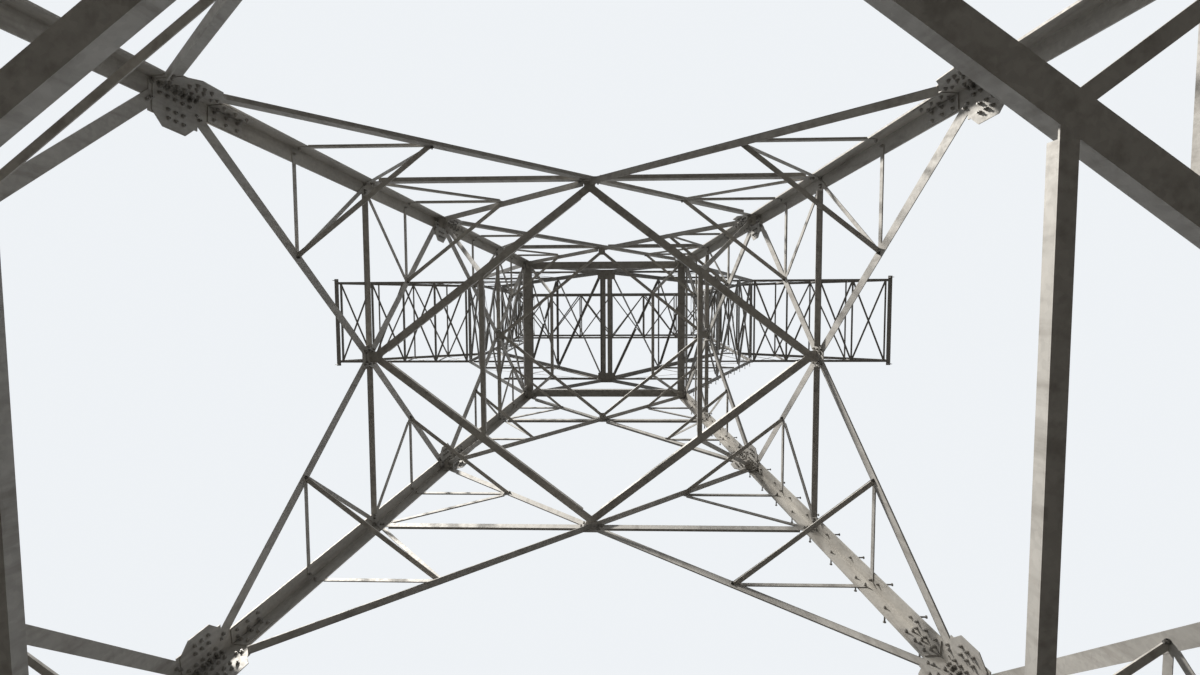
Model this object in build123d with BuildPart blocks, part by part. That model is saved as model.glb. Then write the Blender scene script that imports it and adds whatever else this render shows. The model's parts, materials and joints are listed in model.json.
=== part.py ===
from build123d import *
from collections import namedtuple
from math import atan2, degrees
import os

# Lattice transmission tower of galvanised steel angles, in millimetres.
# X runs along the arms, Y along the line, Z up; the origin is on the ground, midway between the feet.

# Heights of the panel points
FOOT_Z = 40.0
LOW_Z = 7400.0
MID_Z = 13100.0
WAIST_Z = 18700.0
CROTCH_Z = 21400.0
FORK_MID_Z = 23700.0
ARM_Z = 25300.0
ARM_TOP_Z = 27600.0
BEAM_Z = 34000.0
BEAM_TOP_Z = 35300.0
PEAK_Z = 38900.0

# Half widths at the waist, and how much each face leans in for each unit of height
WAIST_HALF_X = 2280.0
WAIST_HALF_Y = 1940.0
LEAN_X = 0.13
LEAN_Y = 0.08
HEAD_LEAN_Y = 0.046

# Distances of the head's panel points from the middle, along X
CROTCH_HALF_X = 140.0
CROTCH_GAP = 20.0
COLUMN_PANELS = 4
ARM_PANELS = 4
BEAM_PANELS = 6
PEAK_STATIONS = (0.04, 0.44, 0.74)
PEAK_BAR_WIDTH = 50.0
ELBOW_X = 5680.0
INNER_ELBOW_X = 4750.0
BEAM_HALF_X = 5300.0
COLUMN_WIDTH = 900.0
PEAK_OVERHANG = 700.0
TIP_X = 11000.0
BEAM_INNER_X = BEAM_HALF_X - COLUMN_WIDTH
PEAK_X = BEAM_HALF_X + PEAK_OVERHANG

# Angle sections: width of the flange and its thickness
LEG_WIDTH, LEG_THICK = 200.0, 20.0
CHORD_WIDTH, CHORD_THICK = 120.0, 10.0
SLIM_WIDTH, SLIM_THICK = 90.0, 8.0
DIAGONAL_WIDTH = 110.0
BASE_PLAN_WIDTH = 140.0
LACING_WIDTH = 70.0
REDUNDANT_WIDTH = 60.0
BAR_THICK = 10.0
HEAD_BAR_THICK = 7.0
RIB_CUT = 220.0

# Joint plates, and how far apart two panels' diagonals end on one leg
LEG_PLATE_WIDTH, LEG_PLATE_HEIGHT = 300.0, 260.0
LEG_PLATE_SHORT = 200.0
CROSS_PLATE = 340.0
LUG = 160.0
NODE_GAP = 130.0
END_GAP = 100.0
PLATE_EDGE = 4.0
SEAT_GAP = 0.3

# Feet
FOOT_PLATE = 620.0
FOOT_PLATE_THICK = 40.0
ANCHOR_SPACING = 440.0
ANCHOR_HOLE_R = 22.0
FOOT_RIB_HEIGHT = 300.0
FOOT_RIB_REACH = 230.0
FOOT_RIB_THICK = 16.0
FOOT_RIB_PLACES = (40.0, 140.0)

# Hangers for the insulators
HANGER_HOLE_R = 13.0
HANGER_THICK = 20.0
HANGER_WIDTH = 140.0
HANGER_DROP = 180.0
TIP_BAR_WIDTH = 160.0
TIP_BAR_THICK = 20.0
TIP_BAR_OVERHANG = 120.0

FACES = {"front": (0, -1), "back": (0, 1), "left": (-1, 0), "right": (1, 0)}
SIDES = {"left": -1, "right": 1}
ENDS = {"front": -1, "back": 1}

Bar = namedtuple("Bar", "start end width rib")
Plate = namedtuple("Plate", "center width height top")

os.makedirs("parts", exist_ok=True)


def half_x(z):
    """Half the body's width along X at height z, from heel to heel."""
    return WAIST_HALF_X + LEAN_X * (WAIST_Z - z)


def half_y(z):
    """Half the tower's depth along Y at height z; the head leans in a little less than the body."""
    lean = LEAN_Y if z < WAIST_Z else HEAD_LEAN_Y
    return WAIST_HALF_Y + lean * (WAIST_Z - z)


def face_half(face, z):
    """Half the width of one body face at height z."""
    return half_x(z) if FACES[face][1] else half_y(z)


def face_point(face, along, z):
    """Point of a body face at height z and at a distance along it from its middle."""
    nx, ny = FACES[face]
    if ny:
        return Vector(along, ny * half_y(z), z)
    return Vector(nx * half_x(z), along, z)


def plane_of(a, b, c, outside):
    """Plane through three points, its normal turned towards a point outside the tower."""
    x_dir = (b - a).normalized()
    normal = x_dir.cross(c - a).normalized()
    if normal.dot(outside - a) < 0:
        normal = normal * -1
    return Plane(origin=a, x_dir=x_dir, z_dir=normal)


def line_between(a, b, share):
    """Point a share of the way from a to b."""
    return a + (b - a) * share


def rib_side(p, q, target):
    """Which edge of a bar from p to q faces a target point: 1 on its left, -1 on its right."""
    run, aim = q - p, target - p
    return 1 if run.X * aim.Y - run.Y * aim.X > 0 else -1


def lattice(plane, bars, inset, plates=(), thick=BAR_THICK):
    """Flat side of a lattice on the chords' flanges: bars and joint plates fused where they meet, and ribs."""
    flats = [(plane.to_local_coords(bar.start), plane.to_local_coords(bar.end), bar) for bar in bars]
    with BuildPart() as side:
        with BuildSketch(plane.offset(-inset)):
            for plate in plates:
                spot = plane.to_local_coords(plate.center)
                up = plane.to_local_coords(plate.top) - spot
                with Locations(Location((spot.X, spot.Y, 0), (0, 0, turn_of(up)))):
                    Rectangle(plate.height, plate.width)
            for p, q, bar in flats:
                run = q - p
                with Locations(Location(((p.X + q.X) / 2, (p.Y + q.Y) / 2, 0), (0, 0, turn_of(run)))):
                    Rectangle(run.length, bar.width)
        extrude(amount=-thick)
        ribbed = [entry for entry in flats if entry[2].rib is not None]
        for width in sorted({bar.width for _, _, bar in ribbed}):
            with BuildSketch(plane.offset(-inset - thick)):
                for p, q, bar in ribbed:
                    if bar.width == width:
                        run = q - p
                        middle = Location(((p.X + q.X) / 2, (p.Y + q.Y) / 2, 0), (0, 0, turn_of(run)))
                        turned = rib_side(p, q, plane.to_local_coords(bar.rib))
                        edge = Location((0, turned * (width - thick) / 2, 0))
                        with Locations(middle * edge):
                            Rectangle(run.length - 2 * RIB_CUT, thick)
            extrude(amount=thick - width)
    return side.part


def turn_of(run):
    """Angle of a run in its plane, in degrees."""
    return degrees(atan2(run.Y, run.X))


def corner_angle(start, end, outward_a, outward_b, width, thick, cuts=()):
    """Steel angle with its heel on a line and its flanges in the faces that meet there, cut off at planes."""
    axis = (end - start).normalized()
    spare = 2 * width if cuts else 0
    length = (end - start).length + 2 * spare
    with BuildPart() as angle:
        for outward, other in ((outward_a, outward_b), (outward_b, outward_a)):
            face = Plane(origin=start - axis * spare, x_dir=axis, z_dir=outward)
            inward = -1 if face.y_dir.dot(other) > 0 else 1
            with BuildSketch(face):
                with Locations((length / 2, inward * width / 2)):
                    Rectangle(length, width)
            extrude(amount=-thick)
        for cut in cuts:
            split(bisect_by=cut, keep=Keep.BOTTOM)
    return angle.part


def above(z):
    """Cutting plane that takes off what lies above a height."""
    return Plane(origin=(0, 0, z), z_dir=(0, 0, 1))


def below(z):
    """Cutting plane that takes off what lies below a height."""
    return Plane(origin=(0, 0, z), z_dir=(0, 0, -1))


def x_limit(side, x):
    """Cutting plane that takes off what lies further out than x on one side."""
    return Plane(origin=(side * x, 0, 0), z_dir=(side, 0, 0))


def across_y(start, end, outside_x, outside_z):
    """Outward normal of the face that holds a line and the direction of Y."""
    normal = (end - start).cross(Vector(0, 1, 0)).normalized()
    if normal.dot(Vector(outside_x, 0, outside_z)) < 0:
        normal = normal * -1
    return normal


def save(part, name):
    """Label a finished piece and write it."""
    part.label = name
    export_step(part, f"parts/{name}.step")


def face_normal(face):
    """Outward normal of a body face."""
    nx, ny = FACES[face]
    return Vector(nx, ny, LEAN_X if nx else LEAN_Y).normalized()


def head_normal(end):
    """Outward normal of the head's front or back face."""
    return Vector(0, end, HEAD_LEAN_Y).normalized()


def head_point(x, end, z):
    """Point of the head's front or back face."""
    return Vector(x, end * half_y(z), z)


def body_leg(sx, sy):
    """One leg from its foot plate to the waist."""
    start = Vector(sx * half_x(FOOT_Z), sy * half_y(FOOT_Z), FOOT_Z)
    end = Vector(sx * WAIST_HALF_X, sy * WAIST_HALF_Y, WAIST_Z)
    outward_x = face_normal("right" if sx > 0 else "left")
    outward_y = face_normal("back" if sy > 0 else "front")
    cuts = (below(FOOT_Z), above(WAIST_Z))
    return corner_angle(start, end, outward_x, outward_y, LEG_WIDTH, LEG_THICK, cuts)


def foot(sx, sy):
    """Foot plate with four anchor holes, and upright ribs against the outside of the leg."""
    heel = Vector(sx * half_x(FOOT_PLATE_THICK), sy * half_y(FOOT_PLATE_THICK), FOOT_PLATE_THICK)
    outward_x = Plane(origin=heel, z_dir=face_normal("right" if sx > 0 else "left"))
    outward_y = Plane(origin=heel, z_dir=face_normal("back" if sy > 0 else "front"))
    with BuildPart() as plate:
        with BuildSketch(Plane.XY):
            with Locations((sx * half_x(0), sy * half_y(0))):
                Rectangle(FOOT_PLATE, FOOT_PLATE)
                with GridLocations(ANCHOR_SPACING, ANCHOR_SPACING, 2, 2):
                    Circle(ANCHOR_HOLE_R, mode=Mode.SUBTRACT)
        extrude(amount=FOOT_PLATE_THICK)
        for away, along, cut in ((Vector(sx, 0, 0), Vector(0, -sy, 0), outward_x),
                                 (Vector(0, sy, 0), Vector(-sx, 0, 0), outward_y)):
            for place in FOOT_RIB_PLACES:
                add(foot_rib(heel + along * place, away, cut))
    return plate.part


def foot_rib(root, away, cut):
    """Upright triangle of plate that leans against a leg's flange."""
    with BuildPart() as rib:
        with BuildSketch(Plane(origin=root, x_dir=away, z_dir=away.cross(Vector(0, 0, 1)))):
            with BuildLine():
                Polyline((-FOOT_RIB_REACH, 0), (FOOT_RIB_REACH, 0), (0, FOOT_RIB_HEIGHT),
                         (-FOOT_RIB_REACH, FOOT_RIB_HEIGHT), close=True)
            make_face()
        extrude(amount=FOOT_RIB_THICK / 2, both=True)
        split(bisect_by=cut, keep=Keep.TOP)
    return rib.part


def leg_gauge(z, face):
    """Distance from a face's middle to the line where its bars are bolted to the leg."""
    return face_half(face, z) - LEG_WIDTH / 2


def crossing_level(low, high):
    """Height where the diagonals of a panel cross, taken midway between the wide and the narrow faces."""
    heights = []
    for face in ("front", "left"):
        wide, narrow = leg_gauge(low, face), leg_gauge(high, face)
        heights.append(low + (high - low) * wide / (wide + narrow))
    return sum(heights) / 2


def leg_plate(face, side, z, width, height):
    """Plate against a leg's flange, along the leg's edge."""
    inset = LEG_THICK + BAR_THICK + PLATE_EDGE + width / 2
    across, higher = face_half(face, z) - inset, face_half(face, z + height) - inset
    return Plate(face_point(face, side * across, z), width, height, face_point(face, side * higher, z + height))


def body_panel(face, low, high):
    """Bracing of one face between two panel points: an X, a level bar and short bars to the legs."""
    level = crossing_level(low, high)
    first, last = low + NODE_GAP, high - NODE_GAP
    middle = face_point(face, 0, level)
    bars = []
    plates = [Plate(middle, CROSS_PLATE, CROSS_PLATE, face_point(face, 0, high))]
    for side in (-1, 1):
        leg_low = face_point(face, side * leg_gauge(first, face), first)
        leg_high = face_point(face, side * leg_gauge(last, face), last)
        leg_level = face_point(face, side * leg_gauge(level, face), level)
        bars.append(Bar(leg_low, middle, DIAGONAL_WIDTH, face_point(face, 0, low)))
        bars.append(Bar(middle, leg_high, DIAGONAL_WIDTH, face_point(face, 0, high)))
        bars.append(Bar(middle, leg_level, DIAGONAL_WIDTH, face_point(face, 0, high)))
        for node, away, bare in ((low, 1, low == FOOT_Z), (high, -1, high == WAIST_Z)):
            shift = NODE_GAP if bare else LEG_PLATE_HEIGHT / 2
            height = LEG_PLATE_SHORT if bare else LEG_PLATE_HEIGHT
            plates.append(leg_plate(face, side, node + away * shift, LEG_PLATE_WIDTH, height))
        for end in (leg_low, leg_high):
            node = line_between(end, middle, 0.5)
            leg_mid = face_point(face, side * leg_gauge(node.Z, face), node.Z)
            bars.append(Bar(node, leg_mid, REDUNDANT_WIDTH, None))
            bars.append(Bar(node, leg_level, REDUNDANT_WIDTH, None))
    plane = plane_of(face_point(face, -1, low), face_point(face, 1, low), middle, middle * 2)
    return lattice(plane, bars, LEG_THICK, plates)


def seat(face, along, z):
    """Small shelf on the inside of a face's bars: an upright lug and a level plate at its foot."""
    depth = LEG_THICK + BAR_THICK
    center = face_point(face, along, z)
    upright = plane_of(face_point(face, -1, z - LUG), face_point(face, 1, z - LUG), center, center * 2)
    spot = upright.to_local_coords(center)
    nx, ny = FACES[face]
    back = depth + BAR_THICK / 2 + LUG / 2
    with BuildPart() as shelf:
        with BuildSketch(upright.offset(-depth)):
            with Locations((spot.X, spot.Y)):
                Rectangle(LUG, LUG)
        extrude(amount=-BAR_THICK)
        with BuildSketch(Plane.XY.offset(z)):
            with Locations((center.X - nx * back, center.Y - ny * back)):
                Rectangle(LUG, LUG)
        extrude(amount=BAR_THICK)
    return shelf.part


def plan_bracing(low, high, width, knees):
    """Level frame at a panel's crossing: a diamond between the four faces, two ties, and struts to the legs."""
    level = crossing_level(low, high)
    set_back = LEG_THICK + 2 * BAR_THICK + LUG / 2
    reach_x, reach_y = half_x(level) - set_back, half_y(level) - set_back
    corners = [Vector(0, -reach_y, level), Vector(reach_x, 0, level), Vector(0, reach_y, level),
               Vector(-reach_x, 0, level)]
    bars = [Bar(corner, corners[index - 1], width, None) for index, corner in enumerate(corners)]
    seats = [(face, 0, level) for face in FACES]
    knee_bars = []
    for sx in SIDES.values():
        bars.append(Bar(Vector(sx * reach_x / 2, -reach_y / 2, level), Vector(sx * reach_x / 2, reach_y / 2, level),
                        LACING_WIDTH, None))
        for face in ("front", "back"):
            sy = FACES[face][1]
            middle = Vector(sx * reach_x / 2, sy * reach_y / 2, level)
            z = high - NODE_GAP - LUG / 2 if knees else level
            along = sx * (leg_gauge(z, face) - LUG / 2)
            end = Vector(along, sy * (half_y(z) - set_back), z)
            seats.append((face, along, z))
            if knees:
                knee_bars.append(slanted_bar(middle, end + Vector(0, 0, BAR_THICK / 2), LACING_WIDTH))
            else:
                bars.append(Bar(middle, end, LACING_WIDTH, None))
    plane = Plane(origin=(0, 0, level), x_dir=(1, 0, 0), z_dir=(0, 0, 1))
    with BuildPart() as frame:
        add(lattice(plane, bars, -BAR_THICK))
        add([seat(*place) for place in seats])
        add(knee_bars)
    return frame.part


def slanted_bar(start, end, width):
    """Flat bar between two points, on edge, that starts a little inside the frame that carries it."""
    run = end - start
    sideways = run.cross(Vector(0, 0, 1))
    section = Plane(origin=start, x_dir=sideways, z_dir=run)
    with BuildPart() as bar:
        with BuildSketch(section):
            Rectangle(width, BAR_THICK)
        extrude(amount=run.length)
    return bar.part


def hip_bracing(low, high):
    """Level bars across the corners, between the middles of neighbouring faces' half diagonals."""
    level = crossing_level(low, high)
    depth = LEG_THICK + BAR_THICK
    bars = []
    for end_z in (low + NODE_GAP, high - NODE_GAP):
        z = (end_z + level) / 2
        for side, sx in SIDES.items():
            for end, sy in ENDS.items():
                start = Vector(sx * leg_gauge(end_z, end) / 2, sy * half_y(z), z)
                finish = Vector(sx * half_x(z), sy * leg_gauge(end_z, side) / 2, z)
                run = (finish - start).normalized()
                section = Plane(origin=start - run * LUG, x_dir=(0, 0, 1), z_dir=run)
                with BuildPart() as bar:
                    with BuildSketch(section):
                        Rectangle(BAR_THICK, REDUNDANT_WIDTH)
                    extrude(amount=(finish - start).length + 2 * LUG)
                    for face in (side, end):
                        wall = Plane(origin=face_point(face, 0, z), z_dir=face_normal(face))
                        split(bisect_by=wall.offset(-depth), keep=Keep.BOTTOM)
                bars.append(bar.part)
    return joined(bars)


def waist_frame():
    """Frame around the waist: a flat ring on the ends of the legs with an upright flange on each long side."""
    clear_x = WAIST_HALF_X - LEG_WIDTH
    clear_y = WAIST_HALF_Y - LEG_WIDTH
    with BuildPart() as frame:
        with BuildSketch(Plane.XY.offset(WAIST_Z)):
            Rectangle(2 * (WAIST_HALF_X + CHORD_THICK), 2 * WAIST_HALF_Y)
            Rectangle(2 * clear_x, 2 * clear_y, mode=Mode.SUBTRACT)
        extrude(amount=CHORD_THICK)
        with BuildSketch(Plane.XY.offset(WAIST_Z)):
            for end in ENDS.values():
                with Locations((0, end * (clear_y + CHORD_THICK / 2))):
                    Rectangle(2 * clear_x, CHORD_THICK)
        extrude(amount=LEG_WIDTH)
    return frame.part


def outer_x(z):
    """Distance of the fork's and the column's outer chord from the middle."""
    if z <= ARM_Z:
        return WAIST_HALF_X + (ELBOW_X - WAIST_HALF_X) * (z - WAIST_Z) / (ARM_Z - WAIST_Z)
    return ELBOW_X + (BEAM_HALF_X - ELBOW_X) * (z - ARM_Z) / (BEAM_Z - ARM_Z)


def inner_x(z):
    """Distance of the fork's and the column's inner chord from the middle."""
    if z <= ARM_TOP_Z:
        return CROTCH_HALF_X + (INNER_ELBOW_X - CROTCH_HALF_X) * (z - CROTCH_Z) / (ARM_TOP_Z - CROTCH_Z)
    return INNER_ELBOW_X + (BEAM_INNER_X - INNER_ELBOW_X) * (z - ARM_TOP_Z) / (BEAM_Z - ARM_TOP_Z)


def outer_point(side, end, z, shift=0.0):
    """Point on an outer chord, moved towards the inner chord by shift."""
    return head_point(side * (outer_x(z) - shift), end, z)


def inner_point(side, end, z, shift=0.0):
    """Point on an inner chord, moved towards the outer chord by shift."""
    return head_point(side * (inner_x(z) + shift), end, z)


def joined(parts):
    """Pieces that share one node, kept as solids of their own."""
    with BuildPart() as group:
        add(parts)
    return group.part


def head_plane(end):
    """Plane of the head's front or back face."""
    return plane_of(head_point(-1, end, WAIST_Z), head_point(1, end, WAIST_Z), head_point(0, end, BEAM_Z),
                    Vector(0, end * 2 * WAIST_HALF_Y, WAIST_Z))


def y_symmetric_chords(start, end, outward, width, thick, cuts=()):
    """The front and the back chord between two points given as x and z."""
    chords = []
    for side in ENDS.values():
        a = head_point(start[0], side, start[1])
        b = head_point(end[0], side, end[1])
        chords.append(corner_angle(a, b, outward, head_normal(side), width, thick, cuts))
    return chords


def fork_chords(side):
    """Four chords of one fork, from the waist and the crotch up to the elbow."""
    outer = ((side * outer_x(WAIST_Z), WAIST_Z), (side * ELBOW_X, ARM_Z))
    inner = ((side * CROTCH_HALF_X, CROTCH_Z), (side * INNER_ELBOW_X, ARM_TOP_Z))
    out_normal = chord_normal(outer, side, 0)
    in_normal = chord_normal(inner, -side, 0)
    outer_cuts = (below(WAIST_Z + CHORD_THICK), above(ARM_Z))
    inner_cuts = (x_limit(-side, -CROTCH_GAP), above(ARM_TOP_Z))
    chords = y_symmetric_chords(*outer, out_normal, CHORD_WIDTH, CHORD_THICK, outer_cuts)
    chords += y_symmetric_chords(*inner, in_normal, CHORD_WIDTH, CHORD_THICK, inner_cuts)
    return joined(chords)


def column_chords(side):
    """Four chords of one column, from the elbow up to the top beam."""
    outer = ((side * ELBOW_X, ARM_Z), (side * BEAM_HALF_X, BEAM_Z))
    inner = ((side * INNER_ELBOW_X, ARM_TOP_Z), (side * BEAM_INNER_X, BEAM_Z))
    outer_cuts, inner_cuts = (below(ARM_Z), above(BEAM_Z)), (below(ARM_TOP_Z), above(BEAM_Z))
    chords = y_symmetric_chords(*outer, chord_normal(outer, side, 0), SLIM_WIDTH, SLIM_THICK, outer_cuts)
    chords += y_symmetric_chords(*inner, chord_normal(inner, -side, 0), SLIM_WIDTH, SLIM_THICK, inner_cuts)
    return joined(chords)


def chord_normal(line, outside_x, outside_z):
    """Outward normal of the face between the front and back copies of a line given as x and z."""
    start = Vector(line[0][0], 0, line[0][1])
    end = Vector(line[1][0], 0, line[1][1])
    return across_y(start, end, outside_x, outside_z)


def fork_sides(side):
    """Front and back bracing of one fork, between its inner and outer chords."""
    gauge = CHORD_WIDTH / 2
    parts = []
    for end in ENDS.values():
        levels = (CROTCH_Z, FORK_MID_Z, ARM_Z)
        bars = []
        for z in levels:
            bars.append(Bar(inner_point(side, end, z, gauge), outer_point(side, end, z, gauge), LACING_WIDTH, None))
        for low, high in zip(levels, levels[1:]):
            bars.append(Bar(outer_point(side, end, low, gauge), inner_point(side, end, high, gauge), LACING_WIDTH, None))
        bars.append(Bar(outer_point(side, end, ARM_Z, gauge), inner_point(side, end, ARM_TOP_Z - NODE_GAP, gauge),
                        LACING_WIDTH, None))
        parts.append(lattice(head_plane(end), bars, CHORD_THICK, thick=HEAD_BAR_THICK))
    return joined(parts)


def ladder(line_x, side, out_sign, stations, inset, gauge, crossed, outside_z=0):
    """Bracing between a front and a back chord: struts at each station and diagonals between them."""
    first, last = stations[0], stations[-1]
    start = Vector(side * line_x(first), 0, first)
    end = Vector(side * line_x(last), 0, last)
    normal = across_y(start, end, out_sign, outside_z)
    plane = Plane(origin=start, x_dir=(0, 1, 0), z_dir=normal)
    bars = []
    for index, z in enumerate(stations):
        pts = {e: Vector(side * line_x(z), e * (half_y(z) - gauge), z) for e in (-1, 1)}
        bars.append(Bar(pts[-1], pts[1], LACING_WIDTH, None))
        if index:
            turn = 1 if index % 2 else -1
            bars.append(Bar(previous[-turn], pts[turn], LACING_WIDTH, None))
            if crossed:
                bars.append(Bar(previous[turn], pts[-turn], LACING_WIDTH, None))
        previous = pts
    return lattice(plane, bars, inset, thick=HEAD_BAR_THICK)


def fork_cross(side):
    """Inner and outer bracing of one fork, between its front and back chords."""
    outer = ladder(outer_x, side, side, (WAIST_Z + 2 * END_GAP, CROTCH_Z, FORK_MID_Z, ARM_Z - 2 * END_GAP), CHORD_THICK,
                   CHORD_WIDTH / 2, True)
    inner = ladder(inner_x, side, -side, (CROTCH_Z, FORK_MID_Z, ARM_Z, ARM_TOP_Z - END_GAP), CHORD_THICK,
                   CHORD_WIDTH / 2, True)
    return joined([outer, inner])


def column_bracing(side):
    """Bracing on the four sides of one column."""
    gauge = SLIM_WIDTH / 2
    count = COLUMN_PANELS
    step = (BEAM_Z - ARM_TOP_Z) / count
    levels = [ARM_TOP_Z + LACING_WIDTH + step * index for index in range(count)] + [BEAM_Z - LACING_WIDTH]
    parts = []
    for end in ENDS.values():
        bars = []
        for index, z in enumerate(levels[:-1]):
            bars.append(Bar(inner_point(side, end, z, gauge), outer_point(side, end, z, gauge), REDUNDANT_WIDTH, None))
            low, high = (outer_point, inner_point) if index % 2 else (inner_point, outer_point)
            bars.append(Bar(low(side, end, z, gauge), high(side, end, levels[index + 1], gauge),
                            REDUNDANT_WIDTH, None))
        parts.append(lattice(head_plane(end), bars, SLIM_THICK, thick=HEAD_BAR_THICK))
    parts.append(ladder(outer_x, side, side, [ARM_Z + LACING_WIDTH] + levels, SLIM_THICK, gauge, False))
    parts.append(ladder(inner_x, side, -side, levels, SLIM_THICK, gauge, False))
    return joined(parts)


def fork_root():
    """Chevrons from the waist's corners to the crotch on the front and the back, with their joint plates."""
    foot_z = WAIST_Z + CHORD_THICK + LEG_PLATE_SHORT - DIAGONAL_WIDTH / 2
    slope = (ARM_TOP_Z - CROTCH_Z) / (INNER_ELBOW_X - CROTCH_HALF_X)
    plate_top = CROTCH_Z - (CROTCH_HALF_X - CROTCH_GAP) * slope - 2 * CHORD_THICK
    parts = []
    for end in ENDS.values():
        plates = [Plate(head_point(0, end, plate_top - CROSS_PLATE / 2), CROSS_PLATE, CROSS_PLATE,
                        head_point(0, end, plate_top))]
        bars = []
        for side in SIDES.values():
            corner = outer_point(side, end, foot_z, CHORD_WIDTH)
            bars.append(Bar(corner, head_point(0, end, plate_top - LACING_WIDTH), DIAGONAL_WIDTH,
                            head_point(0, end, WAIST_Z)))
            plates.append(Plate(corner, LUG, LEG_PLATE_SHORT, outer_point(side, end, foot_z + LUG, CHORD_WIDTH)))
        parts.append(lattice(head_plane(end), bars, CHORD_THICK, plates))
    return joined(parts)


def arm_top_z(x):
    """Height of an arm's upper chord at a distance from the middle."""
    root = outer_x(ARM_TOP_Z)
    tip_z = ARM_Z + CHORD_WIDTH
    return ARM_TOP_Z + (tip_z - ARM_TOP_Z) * (x - root) / (TIP_X - root)


def arm_chords(side):
    """Four chords of one arm: two level ones below and two sloping ones above."""
    root = outer_x(ARM_TOP_Z)
    lower = ((side * ELBOW_X, ARM_Z), (side * TIP_X, ARM_Z))
    upper = ((side * root, ARM_TOP_Z), (side * TIP_X, arm_top_z(TIP_X)))
    column = Plane(origin=(side * ELBOW_X, 0, ARM_Z), z_dir=column_normal(side) * -1)
    cuts = (column, below(ARM_Z), x_limit(side, TIP_X + TIP_BAR_WIDTH / 2))
    chords = y_symmetric_chords(*lower, Vector(0, 0, -1), SLIM_WIDTH, SLIM_THICK, cuts)
    chords += y_symmetric_chords(*upper, chord_normal(upper, 0, 1), SLIM_WIDTH, SLIM_THICK, cuts)
    return joined(chords)


def column_normal(side):
    """Outward normal of a column's outer face."""
    return chord_normal(((side * ELBOW_X, ARM_Z), (side * BEAM_HALF_X, BEAM_Z)), side, 0)


def arm_bracing(side):
    """Bracing on the bottom, top, front and back of one arm."""
    gauge = SLIM_WIDTH / 2
    count = ARM_PANELS
    root_x = ELBOW_X + LACING_WIDTH
    step = (TIP_X - TIP_BAR_WIDTH - root_x) / count
    stations = [root_x + step * index for index in range(count + 1)]
    parts = []
    bottom = []
    top = []
    upright = {end: [] for end in ENDS.values()}
    for index, x in enumerate(stations):
        low = {end: Vector(side * x, end * (half_y(ARM_Z) - gauge), ARM_Z) for end in ENDS.values()}
        z = arm_top_z(x)
        high = {end: Vector(side * x, end * (half_y(z) - gauge), z) for end in ENDS.values()}
        bottom.append(Bar(low[-1], low[1], LACING_WIDTH, None))
        if index:
            for end in ENDS.values():
                bottom.append(Bar(last_low[end], low[-end], LACING_WIDTH, None))
        if 0 < index < count:
            top.append(Bar(high[-1], high[1], REDUNDANT_WIDTH, None))
            turn = 1 if index % 2 else -1
            top.append(Bar(last_high[-turn], high[turn], REDUNDANT_WIDTH, None))
            for end in ENDS.values():
                foot_point = head_point(side * x, end, ARM_Z + gauge)
                upright[end].append(Bar(foot_point, head_point(side * x, end, z - gauge), REDUNDANT_WIDTH, None))
                upright[end].append(Bar(foot_point, head_point(side * stations[index - 1], end,
                                                               arm_top_z(stations[index - 1]) - gauge),
                                        REDUNDANT_WIDTH, None))
        last_low, last_high = low, high
    parts.append(lattice(Plane(origin=(0, 0, ARM_Z), x_dir=(1, 0, 0), z_dir=(0, 0, -1)), bottom, SLIM_THICK,
                         thick=HEAD_BAR_THICK))
    root = outer_x(ARM_TOP_Z)
    upper = ((side * root, ARM_TOP_Z), (side * TIP_X, arm_top_z(TIP_X)))
    top_plane = Plane(origin=(side * root, 0, ARM_TOP_Z), x_dir=(0, 1, 0), z_dir=chord_normal(upper, 0, 1))
    parts.append(lattice(top_plane, top, SLIM_THICK, thick=HEAD_BAR_THICK))
    for end in ENDS.values():
        parts.append(lattice(head_plane(end), upright[end], SLIM_THICK, thick=HEAD_BAR_THICK))
    return joined(parts)


def arm_tip(side):
    """End bar of one arm with a hanger plate at each end."""
    half = half_y(ARM_Z) + TIP_BAR_OVERHANG
    top_z = ARM_Z - SEAT_GAP
    low_z = top_z - TIP_BAR_THICK
    with BuildPart() as tip:
        with BuildSketch(Plane.XY.offset(top_z)):
            with Locations((side * TIP_X, 0)):
                Rectangle(TIP_BAR_WIDTH, 2 * half)
        extrude(amount=-TIP_BAR_THICK)
        for end in ENDS.values():
            add(hanger(Vector(side * TIP_X, end * (half - TIP_BAR_OVERHANG / 2), low_z)))
    return tip.part


def hanger(top):
    """Plate below a bar with a hole for a shackle."""
    with BuildPart() as plate:
        with BuildSketch(Plane(origin=top, x_dir=(1, 0, 0), z_dir=(0, -1, 0))):
            with Locations((0, -HANGER_DROP / 2)):
                Rectangle(HANGER_WIDTH, HANGER_DROP)
            with Locations((0, -HANGER_DROP + HANGER_WIDTH / 2)):
                Circle(HANGER_HOLE_R, mode=Mode.SUBTRACT)
        extrude(amount=HANGER_THICK / 2, both=True)
    return plate.part


def beam_chords():
    """Four chords of the top beam."""
    chords = []
    ends = (x_limit(-1, BEAM_HALF_X), x_limit(1, BEAM_HALF_X))
    for z, up in ((BEAM_Z, -1), (BEAM_TOP_Z, 1)):
        line = ((-BEAM_HALF_X, z), (BEAM_HALF_X, z))
        chords += y_symmetric_chords(*line, Vector(0, 0, up), SLIM_WIDTH, SLIM_THICK, (below(BEAM_Z),) + ends)
    return joined(chords)


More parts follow.
